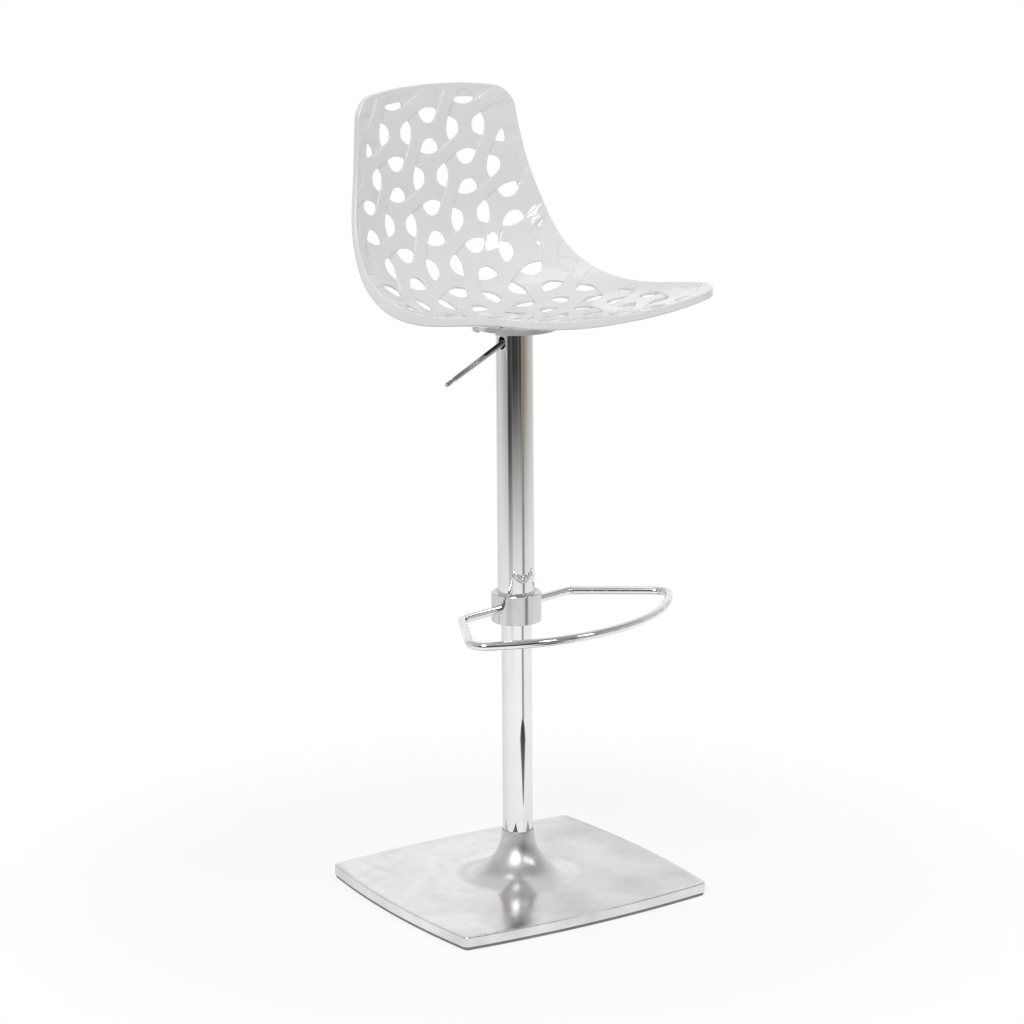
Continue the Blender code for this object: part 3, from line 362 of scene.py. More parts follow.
def circle(radius, z, steps):
    angles = [2 * math.pi * k / steps for k in range(steps)]
    return [(radius * math.cos(a), radius * math.sin(a), z) for a in angles]


def lathe(profile, steps=ROUND_STEPS):
    """A closed (r, z) outline revolved about Z."""
    return rings([circle(r, z, steps) for r, z in profile])


def boolean(ob, tool, operation):
    """A new object from two; both of them go."""
    mod = ob.modifiers.new("shape", "BOOLEAN")
    mod.operation, mod.solver, mod.object = operation, "EXACT", tool
    mesh = settled(ob)
    bpy.data.objects.remove(tool, do_unlink=True)
    return piece("body", mesh, CHROME)


def rod(radius, low, high, matrix, steps):
    """A cylinder along Z from low to high, moved by a matrix."""
    bm = bmesh.new()
    bmesh.ops.create_cone(bm, cap_ends=True, segments=steps, radius1=radius, radius2=radius,
                          depth=high - low)
    bmesh.ops.translate(bm, verts=bm.verts, vec=(0, 0, (low + high) / 2))
    bmesh.ops.transform(bm, verts=bm.verts, matrix=matrix)
    return piece("tool", from_bmesh(bm), CHROME)


def at(x, y, z, turn=0.0, axis="X"):
    return Matrix.Translation((x, y, z)) @ Matrix.Rotation(turn, 4, axis)


def smoothstep(x):
    x = np.clip(x, 0.0, 1.0)
    return x * x * (3 - 2 * x)


def unit(vectors):
    return vectors / np.linalg.norm(vectors, axis=1)[:, None]


def lengths(points):
    """Length of a polyline up to each of its points."""
    return np.concatenate([[0], np.cumsum(np.linalg.norm(np.diff(points, axis=0), axis=1))])


# Seat shell

def spline(points, count=1601):
    """Natural cubic spline through points, sampled evenly along its own length."""
    pts = np.array(points, float)
    knots = lengths(pts)
    n, h = len(pts), np.diff(knots)
    system, right = np.eye(n), np.zeros_like(pts)
    for i in range(1, n - 1):
        system[i, i - 1:i + 2] = h[i - 1], 2 * (h[i - 1] + h[i]), h[i]
        right[i] = 6 * ((pts[i + 1] - pts[i]) / h[i] - (pts[i] - pts[i - 1]) / h[i - 1])
    curl = np.linalg.solve(system, right)
    place = np.linspace(0, knots[-1], count)
    i = np.clip(np.searchsorted(knots, place, side="right") - 1, 0, n - 2)
    a, b, w = (knots[i + 1] - place)[:, None], (place - knots[i])[:, None], h[i][:, None]
    fine = ((curl[i] * a ** 3 + curl[i + 1] * b ** 3) / (6 * w) + (pts[i] / w - curl[i] * w / 6) * a
            + (pts[i + 1] / w - curl[i + 1] * w / 6) * b)
    along = lengths(fine)
    even = np.linspace(0, along[-1], count)
    return np.stack([np.interp(even, along, column) for column in fine.T], 1), along[-1]


CENTRE, LENGTH = spline(PROFILE)
EDGE, _ = spline(RIM)
STATIONS = np.linspace(0, 1, len(CENTRE))


def surface(s, t):
    """Points of the sitting surface at s across and t along the profile."""
    v = np.clip(t / LENGTH, 0.0, 1.0)
    cy, cz = (np.interp(v, STATIONS, CENTRE[:, k]) for k in (0, 1))
    ex, ey, ez = (np.interp(v, STATIONS, EDGE[:, k]) for k in (0, 1, 2))
    k = np.abs(s / ex) ** DISH_POWER
    beyond = t - v * LENGTH
    front, top = CENTRE[1] - CENTRE[0], CENTRE[-1] - CENTRE[-2]
    tail = np.where(beyond[:, None] < 0, front / np.linalg.norm(front), top / np.linalg.norm(top))
    y = cy + (ey - cy) * k + tail[:, 0] * beyond
    z = cz + (ez - cz) * k + tail[:, 1] * beyond
    return np.stack([s, y, z + SEAT_Z], 1)


def tangents(s, t, d=0.0015):
    """Tangents and unit normal of the sitting surface."""
    across = (surface(s + d, t) - surface(s - d, t)) / (2 * d)
    along = (surface(s, t + d) - surface(s, t - d)) / (2 * d)
    return across, along, unit(np.cross(across, along))


def half_outline(t, side, end):
    """Half width of the shell outline at t, set in by a side and an end band, with rounded corners."""
    wide = np.interp(t / LENGTH, STATIONS, EDGE[:, 0]) - side
    for reach, radius in ((t - end, FRONT_CORNER), (LENGTH - end - t, TOP_CORNER)):
        gap = np.clip(radius - reach, 0.0, radius)
        wide = wide - (radius - np.sqrt(radius ** 2 - gap ** 2))
    return wide


def shell_outline(bends=18, middle=70, across=36):
    """Closed loop of the shell edge in (s, t), counter-clockwise."""
    turn = 1 - np.cos(np.linspace(0, math.pi / 2, bends))
    low, high = FRONT_CORNER * turn, LENGTH - TOP_CORNER * turn[::-1]
    t = np.concatenate([low, np.linspace(low[-1], high[0], middle)[1:-1], high])
    right = np.stack([half_outline(t, 0.0, 0.0), t], 1)
    f = np.linspace(1, -1, across)[1:-1]
    top = np.stack([right[-1, 0] * f, np.full_like(f, LENGTH)], 1)
    front = np.stack([-right[0, 0] * f, np.zeros_like(f)], 1)
    left = right[::-1] * (-1, 1)
    return np.concatenate([right, top, left, front])


def area(loop):
    s, t = loop[:, 0], loop[:, 1]
    return 0.5 * float(np.sum(s * np.roll(t, -1) - np.roll(s, -1) * t))


def outward(loop):
    """Normals of the two sides at each point of a counter-clockwise loop, added up."""
    run = unit(np.roll(loop, -1, 0) - loop)
    out = np.stack([run[:, 1], -run[:, 0]], 1)
    return out + np.roll(out, 1, 0)


def shifted(loop, d):
    """Counter-clockwise loop moved outward by d."""
    mean = outward(loop)
    size = np.linalg.norm(mean, axis=1)[:, None]
    return loop + mean / size * d / np.maximum(size / 2, MITRE_MIN)


def softened(loop, rounds=2, least=0.0005, spike=-0.7):
    """Loop without repeated points or spikes and with its corners cut round."""
    count = 0
    while count != len(loop):
        count = len(loop)
        loop = loop[np.linalg.norm(np.roll(loop, -1, 0) - loop, axis=1) > least]
        run = unit(np.roll(loop, -1, 0) - loop)
        loop = loop[(run * np.roll(run, 1, 0)).sum(1) > spike]
    for _ in range(rounds):
        after = np.roll(loop, -1, 0)
        loop = np.stack([0.75 * loop + 0.25 * after, 0.25 * loop + 0.75 * after], 1).reshape(-1, 2)
    return loop[np.linalg.norm(np.roll(loop, -1, 0) - loop, axis=1) > least]


def side_band(t):
    return SIDE_BAND + WAIST_BAND * np.exp(-((t - WAIST_T) / WAIST_W) ** 2)


def clipped(loop, side, end):
    """Loop held inside the outline set in by two bands."""
    t = np.clip(loop[:, 1], end, LENGTH - end)
    wide = half_outline(t, side, end)
    return np.stack([np.clip(loop[:, 0], -wide, wide), t], 1)


def on_lattice(row, column, local):
    """Points given in pitch units from a cell centre, in (s, t)."""
    s = (column + local[:, 0]) * PITCH_S
    return np.stack([s, ROW_T + (local[:, 1] - row) * PITCH_T + ROW_RISE * s * s], 1)


def opening(dome_steps=21, bow_steps=12):
    """One opening in pitch units: a dome towards the cell centre and a shallow bow on the cell edge."""
    f = np.sin(np.linspace(-math.pi / 2, math.pi / 2, dome_steps))
    dome = np.stack([OPEN_HALF * f, OPEN_BULGE + (OPEN_FLAT - OPEN_BULGE) * np.abs(f) ** OPEN_POWER], 1)
    g = np.linspace(1, -1, bow_steps)[1:-1]
    return np.concatenate([dome, np.stack([OPEN_HALF * g, OPEN_FLAT + OPEN_BOW * (1 - g * g)], 1)])


def cells():
    """Row and column of every cell of the pattern that can touch the shell."""
    rows = int(LENGTH / PITCH_T) + 1
    return [(row, column) for row in range(-1, rows) for column in range(-COLUMNS, COLUMNS + 1)]


def openings():
    """Through openings and blind recesses as counter-clockwise loops in (s, t)."""
    through, blind = [], []
    for row, column in cells():
        for way in (1, -1):
            loop = opening() * (1, way)
            if (row + column) % 2:
                loop = loop[:, ::-1]
            loop = on_lattice(row, column, loop)
            if area(loop) < 0:
                loop = loop[::-1]
            cut = clipped(loop, side_band(loop[:, 1]), END_BAND)
            span = np.ptp(cut, axis=0)
            if span.min() > 0.7 * OPEN_MIN and span.max() > OPEN_MIN and area(cut) > 1.2 * OPEN_MIN ** 2:
                through.append(softened(cut))
            if np.abs(cut - loop).max() > RECESS_STEP and area(clipped(loop, 0.0, 0.0)) > RECESS_MIN:
                blind.append(softened(loop))
    return through, blind


def crossings():
    """Edges of the upper bands at the crossings: start, run, length and the way to the higher side."""
    edges = []
    corner = np.array([0.5, -0.5])
    tip_in, tip_out = 0.5 - OPEN_HALF, 0.5 - OPEN_FLAT
    for row, column in cells():
        aside = -tip_out if (row + column) % 2 else tip_out
        tips = np.array([(-tip_in, aside), (aside, tip_in)])
        for way in (1, -1):
            a, b = on_lattice(row, column, corner + way * tips)
            run = (b - a) / np.linalg.norm(b - a)
            rise = np.array([run[1], -run[0]])
            edges.append((a + STEP_ASIDE * rise, run, np.linalg.norm(b - a), rise))
    return edges


THROUGH, BLIND = openings()
CROSSINGS = crossings()
OUTLINE = shell_outline()


def inside(loop, points):
    """Which points lie in a loop."""
    hit = np.zeros(len(points), bool)
    low, high = loop.min(0), loop.max(0)
    near = np.nonzero(np.all((points >= low) & (points <= high), axis=1))[0]
    s, t = points[near, 0], points[near, 1]
    odd = np.zeros(len(near), bool)
    for (s0, t0), (s1, t1) in zip(loop, np.roll(loop, -1, 0)):
        if t0 != t1:
            odd ^= ((t0 > t) != (t1 > t)) & (s < (s1 - s0) * (t - t0) / (t1 - t0) + s0)
    hit[near] = odd
    return hit


def distance(loop, points):
    """Distance of points from a closed loop."""
    best = np.full(len(points), np.inf)
    for a, b in zip(loop, np.roll(loop, -1, 0)):
        run = b - a
        f = np.clip((points - a) @ run / (run @ run), 0.0, 1.0)
        best = np.minimum(best, np.linalg.norm(points - a - f[:, None] * run, axis=1))
    return best


def relief(points):
    """Height of the outer face over the plain surface."""
    height = np.zeros(len(points))
    for a, run, length, rise in CROSSINGS:
        u, w = (points - a) @ run, (points - a) @ rise
        beside = (w < STEP_HALF) & (w > -3 * DIP_REACH)
        near = np.nonzero((u > -DIP_FADE) & (u < length + DIP_FADE) & beside)[0]
        if not len(near):
            continue
        u, w = u[near], w[near]
        fade = 1 - smoothstep(np.maximum(np.maximum(-u, u - length), 0.0) / DIP_FADE)
        step = smoothstep((STEP_HALF - w) / (2 * STEP_HALF))
        height[near] -= STEP_DEPTH * step * fade * np.exp(-(np.minimum(w, 0.0) / DIP_REACH) ** 2)
    for loop in BLIND:
        close = np.nonzero(inside(loop, points))[0]
        if len(close):
            height[close] -= RECESS_DEPTH * smoothstep(distance(loop, points[close]) / RECESS_STEP)
    return height * smoothstep(distance(OUTLINE, points) / RECESS_FADE)


def lip_height(t):
    swell = LIP_SWELL * np.exp(-((t - LIP_SWELL_T) / LIP_SWELL_W) ** 2)
    return LIP_H + (LIP_BACK - LIP_H) * smoothstep((t - LIP_SWELL_T) / LIP_FADE) + swell


def depth(points):
    """Thickness of the shell: the wall, which changes towards the openings, and the lip along the rim."""
    deep = np.full(len(points), SHELL_T)
    for loop in THROUGH:
        low, high = loop.min(0) - 2 * HOLE_TAPER, loop.max(0) + 2 * HOLE_TAPER
        near = np.nonzero(np.all((points > low) & (points < high), axis=1))[0]
        if len(near):
            spot = points[near]
            edge = 1 - smoothstep(distance(loop, spot) / HOLE_TAPER)
            ahead = smoothstep((spot[:, 1] - THICK_FROM) / (THICK_TO - THICK_FROM))
            up = smoothstep((spot[:, 1] - TAPER_FROM) / (TAPER_TO - TAPER_FROM))
            deep[near] += edge * ((SEAT_HOLE_T - SHELL_T) * ahead + (BACK_HOLE_T - SHELL_T) * up)
    rim = np.nonzero(~inside(shifted(OUTLINE, -1.5 * LIP_OUT), points))[0]
    inset = distance(OUTLINE, points[rim])
    lip = lip_height(points[rim, 1]) - SHELL_T
    deep[rim] += lip * (1 - smoothstep((inset - LIP_IN) / (LIP_OUT - LIP_IN)))
    return deep


def slopes(field, points, d=0.0001):
    """Gradient of a field over (s, t)."""
    steps = np.array([(d, 0.0), (0.0, d)])
    return [(field(points + step) - field(points - step)) / (2 * d) for step in steps]


def on_sheet(border, holes, points):
    """Which points lie inside the border and in none of the holes."""
    free = inside(border, points)
    for loop in holes:
        free &= ~inside(loop, points)
    return free


def shell_sheet():
    """Triangles of the perforated sheet in (s, t), with its relief lines as edges."""
    holes = [shifted(loop, HOLE_ROUND) for loop in THROUGH]
    border, limit = shifted(OUTLINE, -RIM_ROUND), shifted(OUTLINE, -2 * RIM_ROUND)
    loops = [border] + holes
    loops += [shifted(loop, share * HOLE_TAPER) for loop in THROUGH for share in (0.6, 1.05)]
    loops += [shifted(OUTLINE, -inset) for inset in (LIP_IN, 0.5 * (LIP_IN + LIP_OUT), LIP_OUT)]
    coords, edges = [], []
    for loop in loops:
        first = len(coords)
        coords += [tuple(p) for p in loop]
        edges += [(first + k, first + (k + 1) % len(loop)) for k in range(len(loop))]
    lines = [np.concatenate([edge, edge[:1]]) for loop in BLIND
             for edge in (loop, shifted(loop, -0.5 * RECESS_STEP), shifted(loop, -RECESS_STEP))]
    for a, run, length, rise in CROSSINGS:
        u = np.linspace(-DIP_FADE, length + DIP_FADE, 12)[:, None]
        lines += [a + u * run + w * rise for w in np.linspace(-STEP_HALF, STEP_HALF, 4)]
    for line in lines:
        keep = inside(limit, line)
        for k, point in enumerate(line):
            if keep[k]:
                coords.append(tuple(point))
                if k and keep[k - 1]:
                    edges.append((len(coords) - 2, len(coords) - 1))
    taken = KDTree(len(coords))
    for k, (s, t) in enumerate(coords):
        taken.insert((s, t, 0.0), k)
    taken.balance()
    rows = int(LENGTH / (GRID * GRID_ROW))
    grid = np.array([((k + 0.5 * (row % 2)) * GRID, row * GRID * GRID_ROW) for row in range(1, rows)
                     for k in range(-GRID_SIDE, GRID_SIDE + 1)])
    grid = grid[on_sheet(border, holes, grid)]
    coords += [tuple(p) for p in grid if taken.find((*p, 0.0))[2] > GRID_CLEAR * GRID]
    verts, _, faces = delaunay_2d_cdt([Vector(p) for p in coords], edges, [], 1, 1e-7)[:3]
    points = np.array([tuple(v) for v in verts])
    faces = np.array(faces)
    return points, faces[on_sheet(border, holes, points[faces].mean(1))]


def boundaries(faces):
    """Loops of the sheet's free edges, with the material on their left."""
    runs = {(int(a), int(b)) for f in faces for a, b in ((f[0], f[1]), (f[1], f[2]), (f[2], f[0]))}
    after = {a: b for a, b in runs if (b, a) not in runs}
    loops = []
    while after:
        start, here = next(iter(after.items()))
        del after[start]
        loop = [start]
        while here != start:
            loop.append(here)
            here = after.pop(here)
        loops.append(loop)
    return loops


def seat_shell():
    """Closed shell: relief on the outer face, plain inner face with its lip, and rounded edges between."""
    points, faces = shell_sheet()
    used, faces = np.unique(faces, return_inverse=True)
    points, faces = points[used], faces.reshape(-1, 3)
    across, along, normal = tangents(*points.T)

    def steep(field):
        return sum(g[:, None] * v / (v * v).sum(1)[:, None]
                   for g, v in zip(slopes(field, points), (across, along)))

    base, high, deep = surface(*points.T), relief(points), depth(points)
    count = len(points)
    verts = [base + normal * high[:, None], base - normal * deep[:, None]]
    normals = [normal - steep(relief), -(normal + steep(depth))]
    groups = [faces, faces[:, ::-1] + count]
    total = 2 * count
    for loop in boundaries(faces):
        flat = points[loop]
        outer = np.ptp(flat, axis=0).max() > 0.5 * LENGTH
        radius = RIM_ROUND if outer else HOLE_ROUND
        away = outward(flat)
        away = away / np.maximum(np.linalg.norm(away, axis=1), MITRE_MIN)[:, None]
        lift, drop = high[loop], deep[loop]
        chain = [np.array(loop)]
        for face, angles in ((1, (30, 60, 90)), (-1, (90, 60, 30))):
            for turn in np.radians(angles):
                spot = flat + away * radius * math.sin(turn)
                ps, pt, n = tangents(*spot.T)
                side = unit(ps * away[:, :1] + pt * away[:, 1:])
                sink = radius * (1 - math.cos(turn))
                level = lift - sink if face > 0 else sink - drop
                verts.append(surface(*spot.T) + n * level[:, None])
                normals.append(face * n * math.cos(turn) + side * math.sin(turn))
                chain.append(np.arange(total, total + len(loop)))
                total += len(loop)
        chain.append(np.array(loop) + count)
        for a, b in zip(chain, chain[1:]):
            groups.append(np.stack([np.roll(a, -1), a, b, np.roll(b, -1)], 1))
    mesh = bpy.data.meshes.new("seat_shell_skin")
    polygons = [tuple(map(int, f)) for group in groups for f in group]
    mesh.from_pydata(np.concatenate(verts).tolist(), [], polygons)
    mesh.shade_smooth()
    mesh.normals_split_custom_set_from_vertices(unit(np.concatenate(normals)).tolist())
    return mesh


stand_for(piece("openwork_seat_shell", seat_shell(), GLOSS_WHITE), "seat_carriage", "seat_shell")


# Base

def base_outline(inset, corner_steps=14, side_steps=26):
    """Rectangle with bowed sides and rounded corners, in the base's own axes."""
    hx, hy = BASE_HALF_X - BASE_EASE - inset, BASE_HALF_Y - BASE_EASE - inset
    radius = max(BASE_CORNER - inset, 0.004)
    cx, cy = hx - BASE_BOW - radius, hy - BASE_BOW - radius
    points = []
    for quarter, (sx, sy) in enumerate(((1, 1), (-1, 1), (-1, -1), (1, -1))):
        for step in range(corner_steps + 1):
            a = (quarter + step / corner_steps) * math.pi / 2
            points.append((sx * cx + radius * math.cos(a), sy * cy + radius * math.sin(a)))
        for step in range(1, side_steps):
            f = 1 - 2 * step / side_steps
            bow = BASE_BOW * (1 - f * f)
            if quarter % 2 == 0:
                points.append((sx * cx * f, sy * (hy - BASE_BOW + bow)))
            else:
                points.append((sx * (hx - BASE_BOW + bow), sy * cy * f))
    return points


BASE_ANGLES = [math.atan2(y, x) for x, y in base_outline(0.0)]
TURN_BASE = Matrix.Rotation(BASE_TURN, 4, "Z")


def edge_ring(inset, z):
    return [(x, y, z) for x, y in base_outline(inset)]


def round_ring(radius, z):
    return [(radius * math.cos(a), radius * math.sin(a), z) for a in BASE_ANGLES]


def mixed_ring(a, b, f, z):
    return [(p[0] + (q[0] - p[0]) * f, p[1] + (q[1] - p[1]) * f, z) for p, q in zip(a, b)]


def flare(lip_r, foot_r, foot_z, top_z, steps, power):
    """Concave quarter of a superellipse from the lip of the trumpet down to its foot, as (r, z)."""
    shares = [k / (steps - 1) * math.pi / 2 for k in range(steps)]
    return [(foot_r - (foot_r - lip_r) * abs(math.cos(a)) ** (2 / power),
             top_z - (top_z - foot_z) * math.sin(a) ** (2 / power)) for a in shares]


def base_casting():
    """Casting as one skin: bore, lip, trumpet, apron, rounded edge and hollow underside with bosses."""
    low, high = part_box("base_casting")
    bore, top, bottom = TUBE_R + GAP, high.z, low.z
    under = BASE_EDGE_TOP - CASTING_T
    throat = top - 6 * CASTING_T          # keeps the inner skin behind the flank
    lip = FLARE_LIP_T / 2
    loops = [round_ring(bore, top - lip)]
    loops += [round_ring(bore + lip * (1 - math.cos(a)), top - lip + lip * math.sin(a))
              for a in np.radians((45, 90, 135))]
    outer = flare(bore + FLARE_LIP_T, FLARE_FOOT_R, FLARE_FOOT_Z, top - lip, 40, FLARE_POWER)
    loops += [round_ring(r, z) for r, z in outer]
    foot, rim = round_ring(FLARE_FOOT_R, 0.0), edge_ring(EDGE_ROUND, 0.0)
    for f in np.linspace(0, 1, 16)[1:]:
        loops.append(mixed_ring(foot, rim, f, FLARE_FOOT_Z + (BASE_EDGE_TOP - FLARE_FOOT_Z) * smoothstep(f)))
    for a in np.radians((18, 36, 54, 72, 90)):
        inset, fall = EDGE_ROUND * (1 - math.sin(a)), EDGE_ROUND * (1 - math.cos(a))
        loops.append(edge_ring(inset, BASE_EDGE_TOP - fall))
    chamfer = EDGE_ROUND / 2
    loops += [edge_ring(0.0, bottom + chamfer), edge_ring(0.3 * chamfer, bottom + 0.3 * chamfer),
              edge_ring(chamfer, bottom), edge_ring(HOLLOW_INSET, bottom), edge_ring(HOLLOW_INSET, under)]
    inner = flare(bore + 0.7 * CASTING_T, FLARE_FOOT_R - 0.6 * CASTING_T, under, throat, 14, 2.0)
    loops += [round_ring(r, z) for r, z in reversed(inner)]
    loops += [round_ring(bore, throat)]
    ob = piece("body", from_bmesh(rings(loops), 32.0), SATIN)
    boss_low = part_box("ballast_plate")[1].z + GAP
    for sx in (-1, 1):
        for sy in (-1, 1):
            spot = at(sx * BASE_HALF_X * BOSS_PLACE, sy * BASE_HALF_Y * BOSS_PLACE, 0.0)
            ob = boolean(ob, rod(BOSS_R, boss_low, under + 0.3 * CASTING_T, spot, 24), "UNION")
            ob = boolean(ob, rod(BOSS_BORE, 0.0, under, spot, 20), "DIFFERENCE")
    mesh = settled(ob)
    mesh.transform(TURN_BASE)
    return mesh


def base_gasket():
    """Rubber strip with rounded edges and two shallow grooves in its outer face."""
    low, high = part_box("base_gasket")
    # Section, in shares of the width and the height
    section = [(0.0, 0.12), (0.05, 0.03), (0.12, 0.0), (0.88, 0.0), (0.97, 0.04), (1.0, 0.15), (1.0, 0.85),
               (0.95, 1.0), (0.06, 1.0), (0.0, 0.92), (0.0, 0.72), (0.035, 0.67), (0.035, 0.60), (0.0, 0.55),
               (0.0, 0.42), (0.035, 0.37), (0.035, 0.30), (0.0, 0.25)]
    tall = high.z - low.z
    loops = [edge_ring(GASKET_INSET + GASKET_W * f, low.z + tall * g) for f, g in section]
    mesh = from_bmesh(rings(loops), 50.0)
    mesh.transform(TURN_BASE)
    return mesh


stand_for(piece("trumpet_base", base_casting(), SATIN), "base", "base_casting")
stand_for(piece("base_edge_strip", base_gasket(), RUBBER), "base", "base_gasket")


# Column

def tube(node, radius, wall, edge):
    """Tube of a CAD node's length with rounded ends."""
    low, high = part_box(node)
    outline = [(radius - wall, low.z), (radius, low.z), (radius, high.z), (radius - wall, high.z)]
    profile = rounded(outline, [edge] * 4)
    inner, outer = (sorted((p for p in profile if (p[0] > radius - wall / 2) == out), key=lambda p: p[1])
                    for out in (False, True))
    plain = high.z - low.z - 2 * edge
    fill = [(low.z + edge) + plain * k / TUBE_LEVELS for k in range(1, TUBE_LEVELS)]
    half = len(outer) // 2
    outer = outer[:half] + [(radius, z) for z in fill] + outer[half:]
    return lathe(outer + inner[::-1])


def slotted_sleeve():
    """Outer tube with the rounded slot that the lever passes through."""
    ob = piece("body", from_bmesh(tube("column_sleeve", SLEEVE_R, SLEEVE_WALL, SLEEVE_EDGE)), CHROME)
    z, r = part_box("column_sleeve")[1].z - SLOT_DROP, SLOT_W / 2
    straight = SLOT_H / 2 - r
    arc = [math.pi * k / 16 for k in range(17)]
    ring = [(r * math.cos(a), z + straight + r * math.sin(a)) for a in arc]
    ring += [(-r * math.cos(a), z - straight - r * math.sin(a)) for a in arc]
    ends = (-SLEEVE_R - OVERRUN, -SLEEVE_R + OVERRUN)
    cutter = rings([[(x, y, h) for y, h in ring] for x in ends], False, True)
    ob = boolean(ob, piece("tool", from_bmesh(cutter), CHROME), "DIFFERENCE")
    return radial_normals(settled(ob))


def radial_normals(mesh, least=0.97):
    """Exact round shading on the faces of a tube that point away from or to its axis."""
    normals = np.zeros((len(mesh.loops), 3))
    mesh.corner_normals.foreach_get("vector", normals.ravel())
    for polygon in mesh.polygons:
        middle = Vector((polygon.center.x, polygon.center.y, 0.0)).normalized()
        facing = polygon.normal.dot(middle)
        if abs(facing) > least:
            for loop in polygon.loop_indices:
                co = mesh.vertices[mesh.loops[loop].vertex_index].co
                normals[loop] = Vector((co.x, co.y, 0.0)).normalized() * math.copysign(1.0, facing)
    mesh.shade_smooth()
    mesh.normals_split_custom_set(normals.tolist())
    return mesh


def footrest_collar():
    """Turned collar with rounded edges, a recess round the sleeve, and holes for the rod and the screws."""
    low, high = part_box("footrest_collar")
    fit, ledge = SLEEVE_R + GAP, low.z + COLLAR_FLANGE_T
    throat, step = TUBE_R + COLLAR_PLAY, high.z - COLLAR_LEAD
    outline = [(fit, ledge), (fit, step), (fit + COLLAR_LEAD, step), (fit + 2 * COLLAR_LEAD, high.z),
               (COLLAR_R, high.z), (COLLAR_R, low.z), (throat, low.z), (throat, ledge)]
    radii = [0.0, 0.0, 0.0006, 0.0008, 0.0016, 0.0014, 0.0006, 0.0]
    ob = piece("body", from_bmesh(lathe(rounded(outline, radii)), 30.0), COLLAR_METAL)
    socket = COLLAR_R - FOOT_SOCKET
    for side in (-1, 1):
        hole = rod(FOOT_R + GAP, socket, COLLAR_R + OVERRUN, at(0, 0, FOOT_Z, side * math.pi / 2, "Y"), 40)
        ob = boolean(ob, hole, "DIFFERENCE")
        grub = rod(GRUB_R, low.z - OVERRUN, FOOT_Z, at(side * (socket + FOOT_SOCKET / 2), 0, 0), 20)
        ob = boolean(ob, grub, "DIFFERENCE")
    rear = rod(GRUB_R, SLEEVE_R, COLLAR_R + OVERRUN, at(0, 0, FOOT_Z, -math.pi / 2, "X"), 20)
    return radial_normals(settled(boolean(ob, rear, "DIFFERENCE")))


def footrest_path():
    """Left half from its collar socket to the middle of the front bow, then its mirror image."""
    def on_arc(a):
        return Vector((FOOT_ARC_R * math.sin(a), FOOT_APEX_Y + FOOT_ARC_R - FOOT_ARC_R * math.cos(a)))

    end = -math.asin(FOOT_FRONT_X / FOOT_ARC_R)
    start = Vector((-(COLLAR_R - FOOT_SOCKET) - GAP, 0))
    back, front = Vector((-FOOT_BACK_X, 0)), on_arc(end)
    ahead = front + Vector((math.cos(end), math.sin(end)))
    turn = bend(back, front, ahead, FOOT_FRONT_BEND, 14)
    begin = math.asin(turn[-1].x / FOOT_ARC_R)
    path = [start] + bend(start, back, front, FOOT_BACK_BEND, 12) + turn
    path += [on_arc(begin * (1 - k / 24)) for k in range(1, 25)]
    return path + [Vector((-p.x, p.y)) for p in reversed(path[:-1])]


def footrest_ring(sides=28):
    """Round rod along its centre line, with flat ends."""
    path = footrest_path()
    loops = []
    for k, p in enumerate(path):
        run = (path[min(k + 1, len(path) - 1)] - path[max(k - 1, 0)]).normalized()
        loops.append([(p.x + run.y * out, p.y - run.x * out, FOOT_Z + up)
                      for out, up, _ in circle(FOOT_R, 0.0, sides)])
    return from_bmesh(rings(loops, False, True))


def release_lever():
    """Turned rod with a grooved, rounded tip, its eye on the pivot and the tongue over the valve pin."""
    reach = math.hypot(LEVER_REACH, LEVER_FALL)
    neck, bead = 0.8 * LEVER_TIP_R, 0.8 * LEVER_R
    # Profile: share of the length, and radius
    shape = [(0.0, LEVER_R), (0.25, LEVER_R), (0.60, 0.90 * LEVER_R), (0.855, 0.82 * LEVER_R),
             (0.865, 0.80 * LEVER_R), (0.872, 1.04 * neck), (0.880, neck), (0.902, neck),
             (0.910, 1.04 * neck), (0.917, 0.97 * bead), (0.925, bead), (LEVER_TIP_AT, bead)]
    shape += [(LEVER_TIP_AT + (1.0 - LEVER_TIP_AT) * math.sin(a), 0.32 * bead + 0.68 * bead * math.cos(a))
              for a in np.radians(range(10, 91, 10))]
    bm = rings([circle(r, f * reach, 40) for f, r in shape], False, True)
    lean = math.atan2(-LEVER_REACH, -LEVER_FALL)
    bmesh.ops.transform(bm, verts=bm.verts, matrix=Matrix.Rotation(lean, 4, "Y"))
    ob = piece("body", from_bmesh(bm, 40.0), CHROME)
    ob = boolean(ob, rod(EYE_R, -EYE_W / 2, EYE_W / 2, at(0, 0, 0, math.pi / 2), 40), "UNION")
    tongue = bmesh.new()
    bmesh.ops.create_cube(tongue, size=1.0)
    end, low, high = TONGUE_PAST - PIVOT_X, TONGUE_LOW * EYE_R, TONGUE_HIGH * EYE_R
    bmesh.ops.scale(tongue, verts=tongue.verts, vec=(end, TONGUE_WIDE * LEVER_R, high - low))
    bmesh.ops.translate(tongue, verts=tongue.verts, vec=(end / 2, 0, (low + high) / 2))
    bmesh.ops.bevel(tongue, geom=list(tongue.edges), offset=TONGUE_EDGE, segments=2, affect="EDGES")
    ob = boolean(ob, piece("tool", from_bmesh(tongue), CHROME), "UNION")
    ob = boolean(ob, rod(PIVOT_R + GAP, -EYE_W, EYE_W, at(0, 0, 0, math.pi / 2), 32), "DIFFERENCE")
    mesh = settled(ob)
    mesh.transform(Matrix.Translation((PIVOT_X, 0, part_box("column_sleeve")[1].z - PIVOT_DROP)))
    return mesh


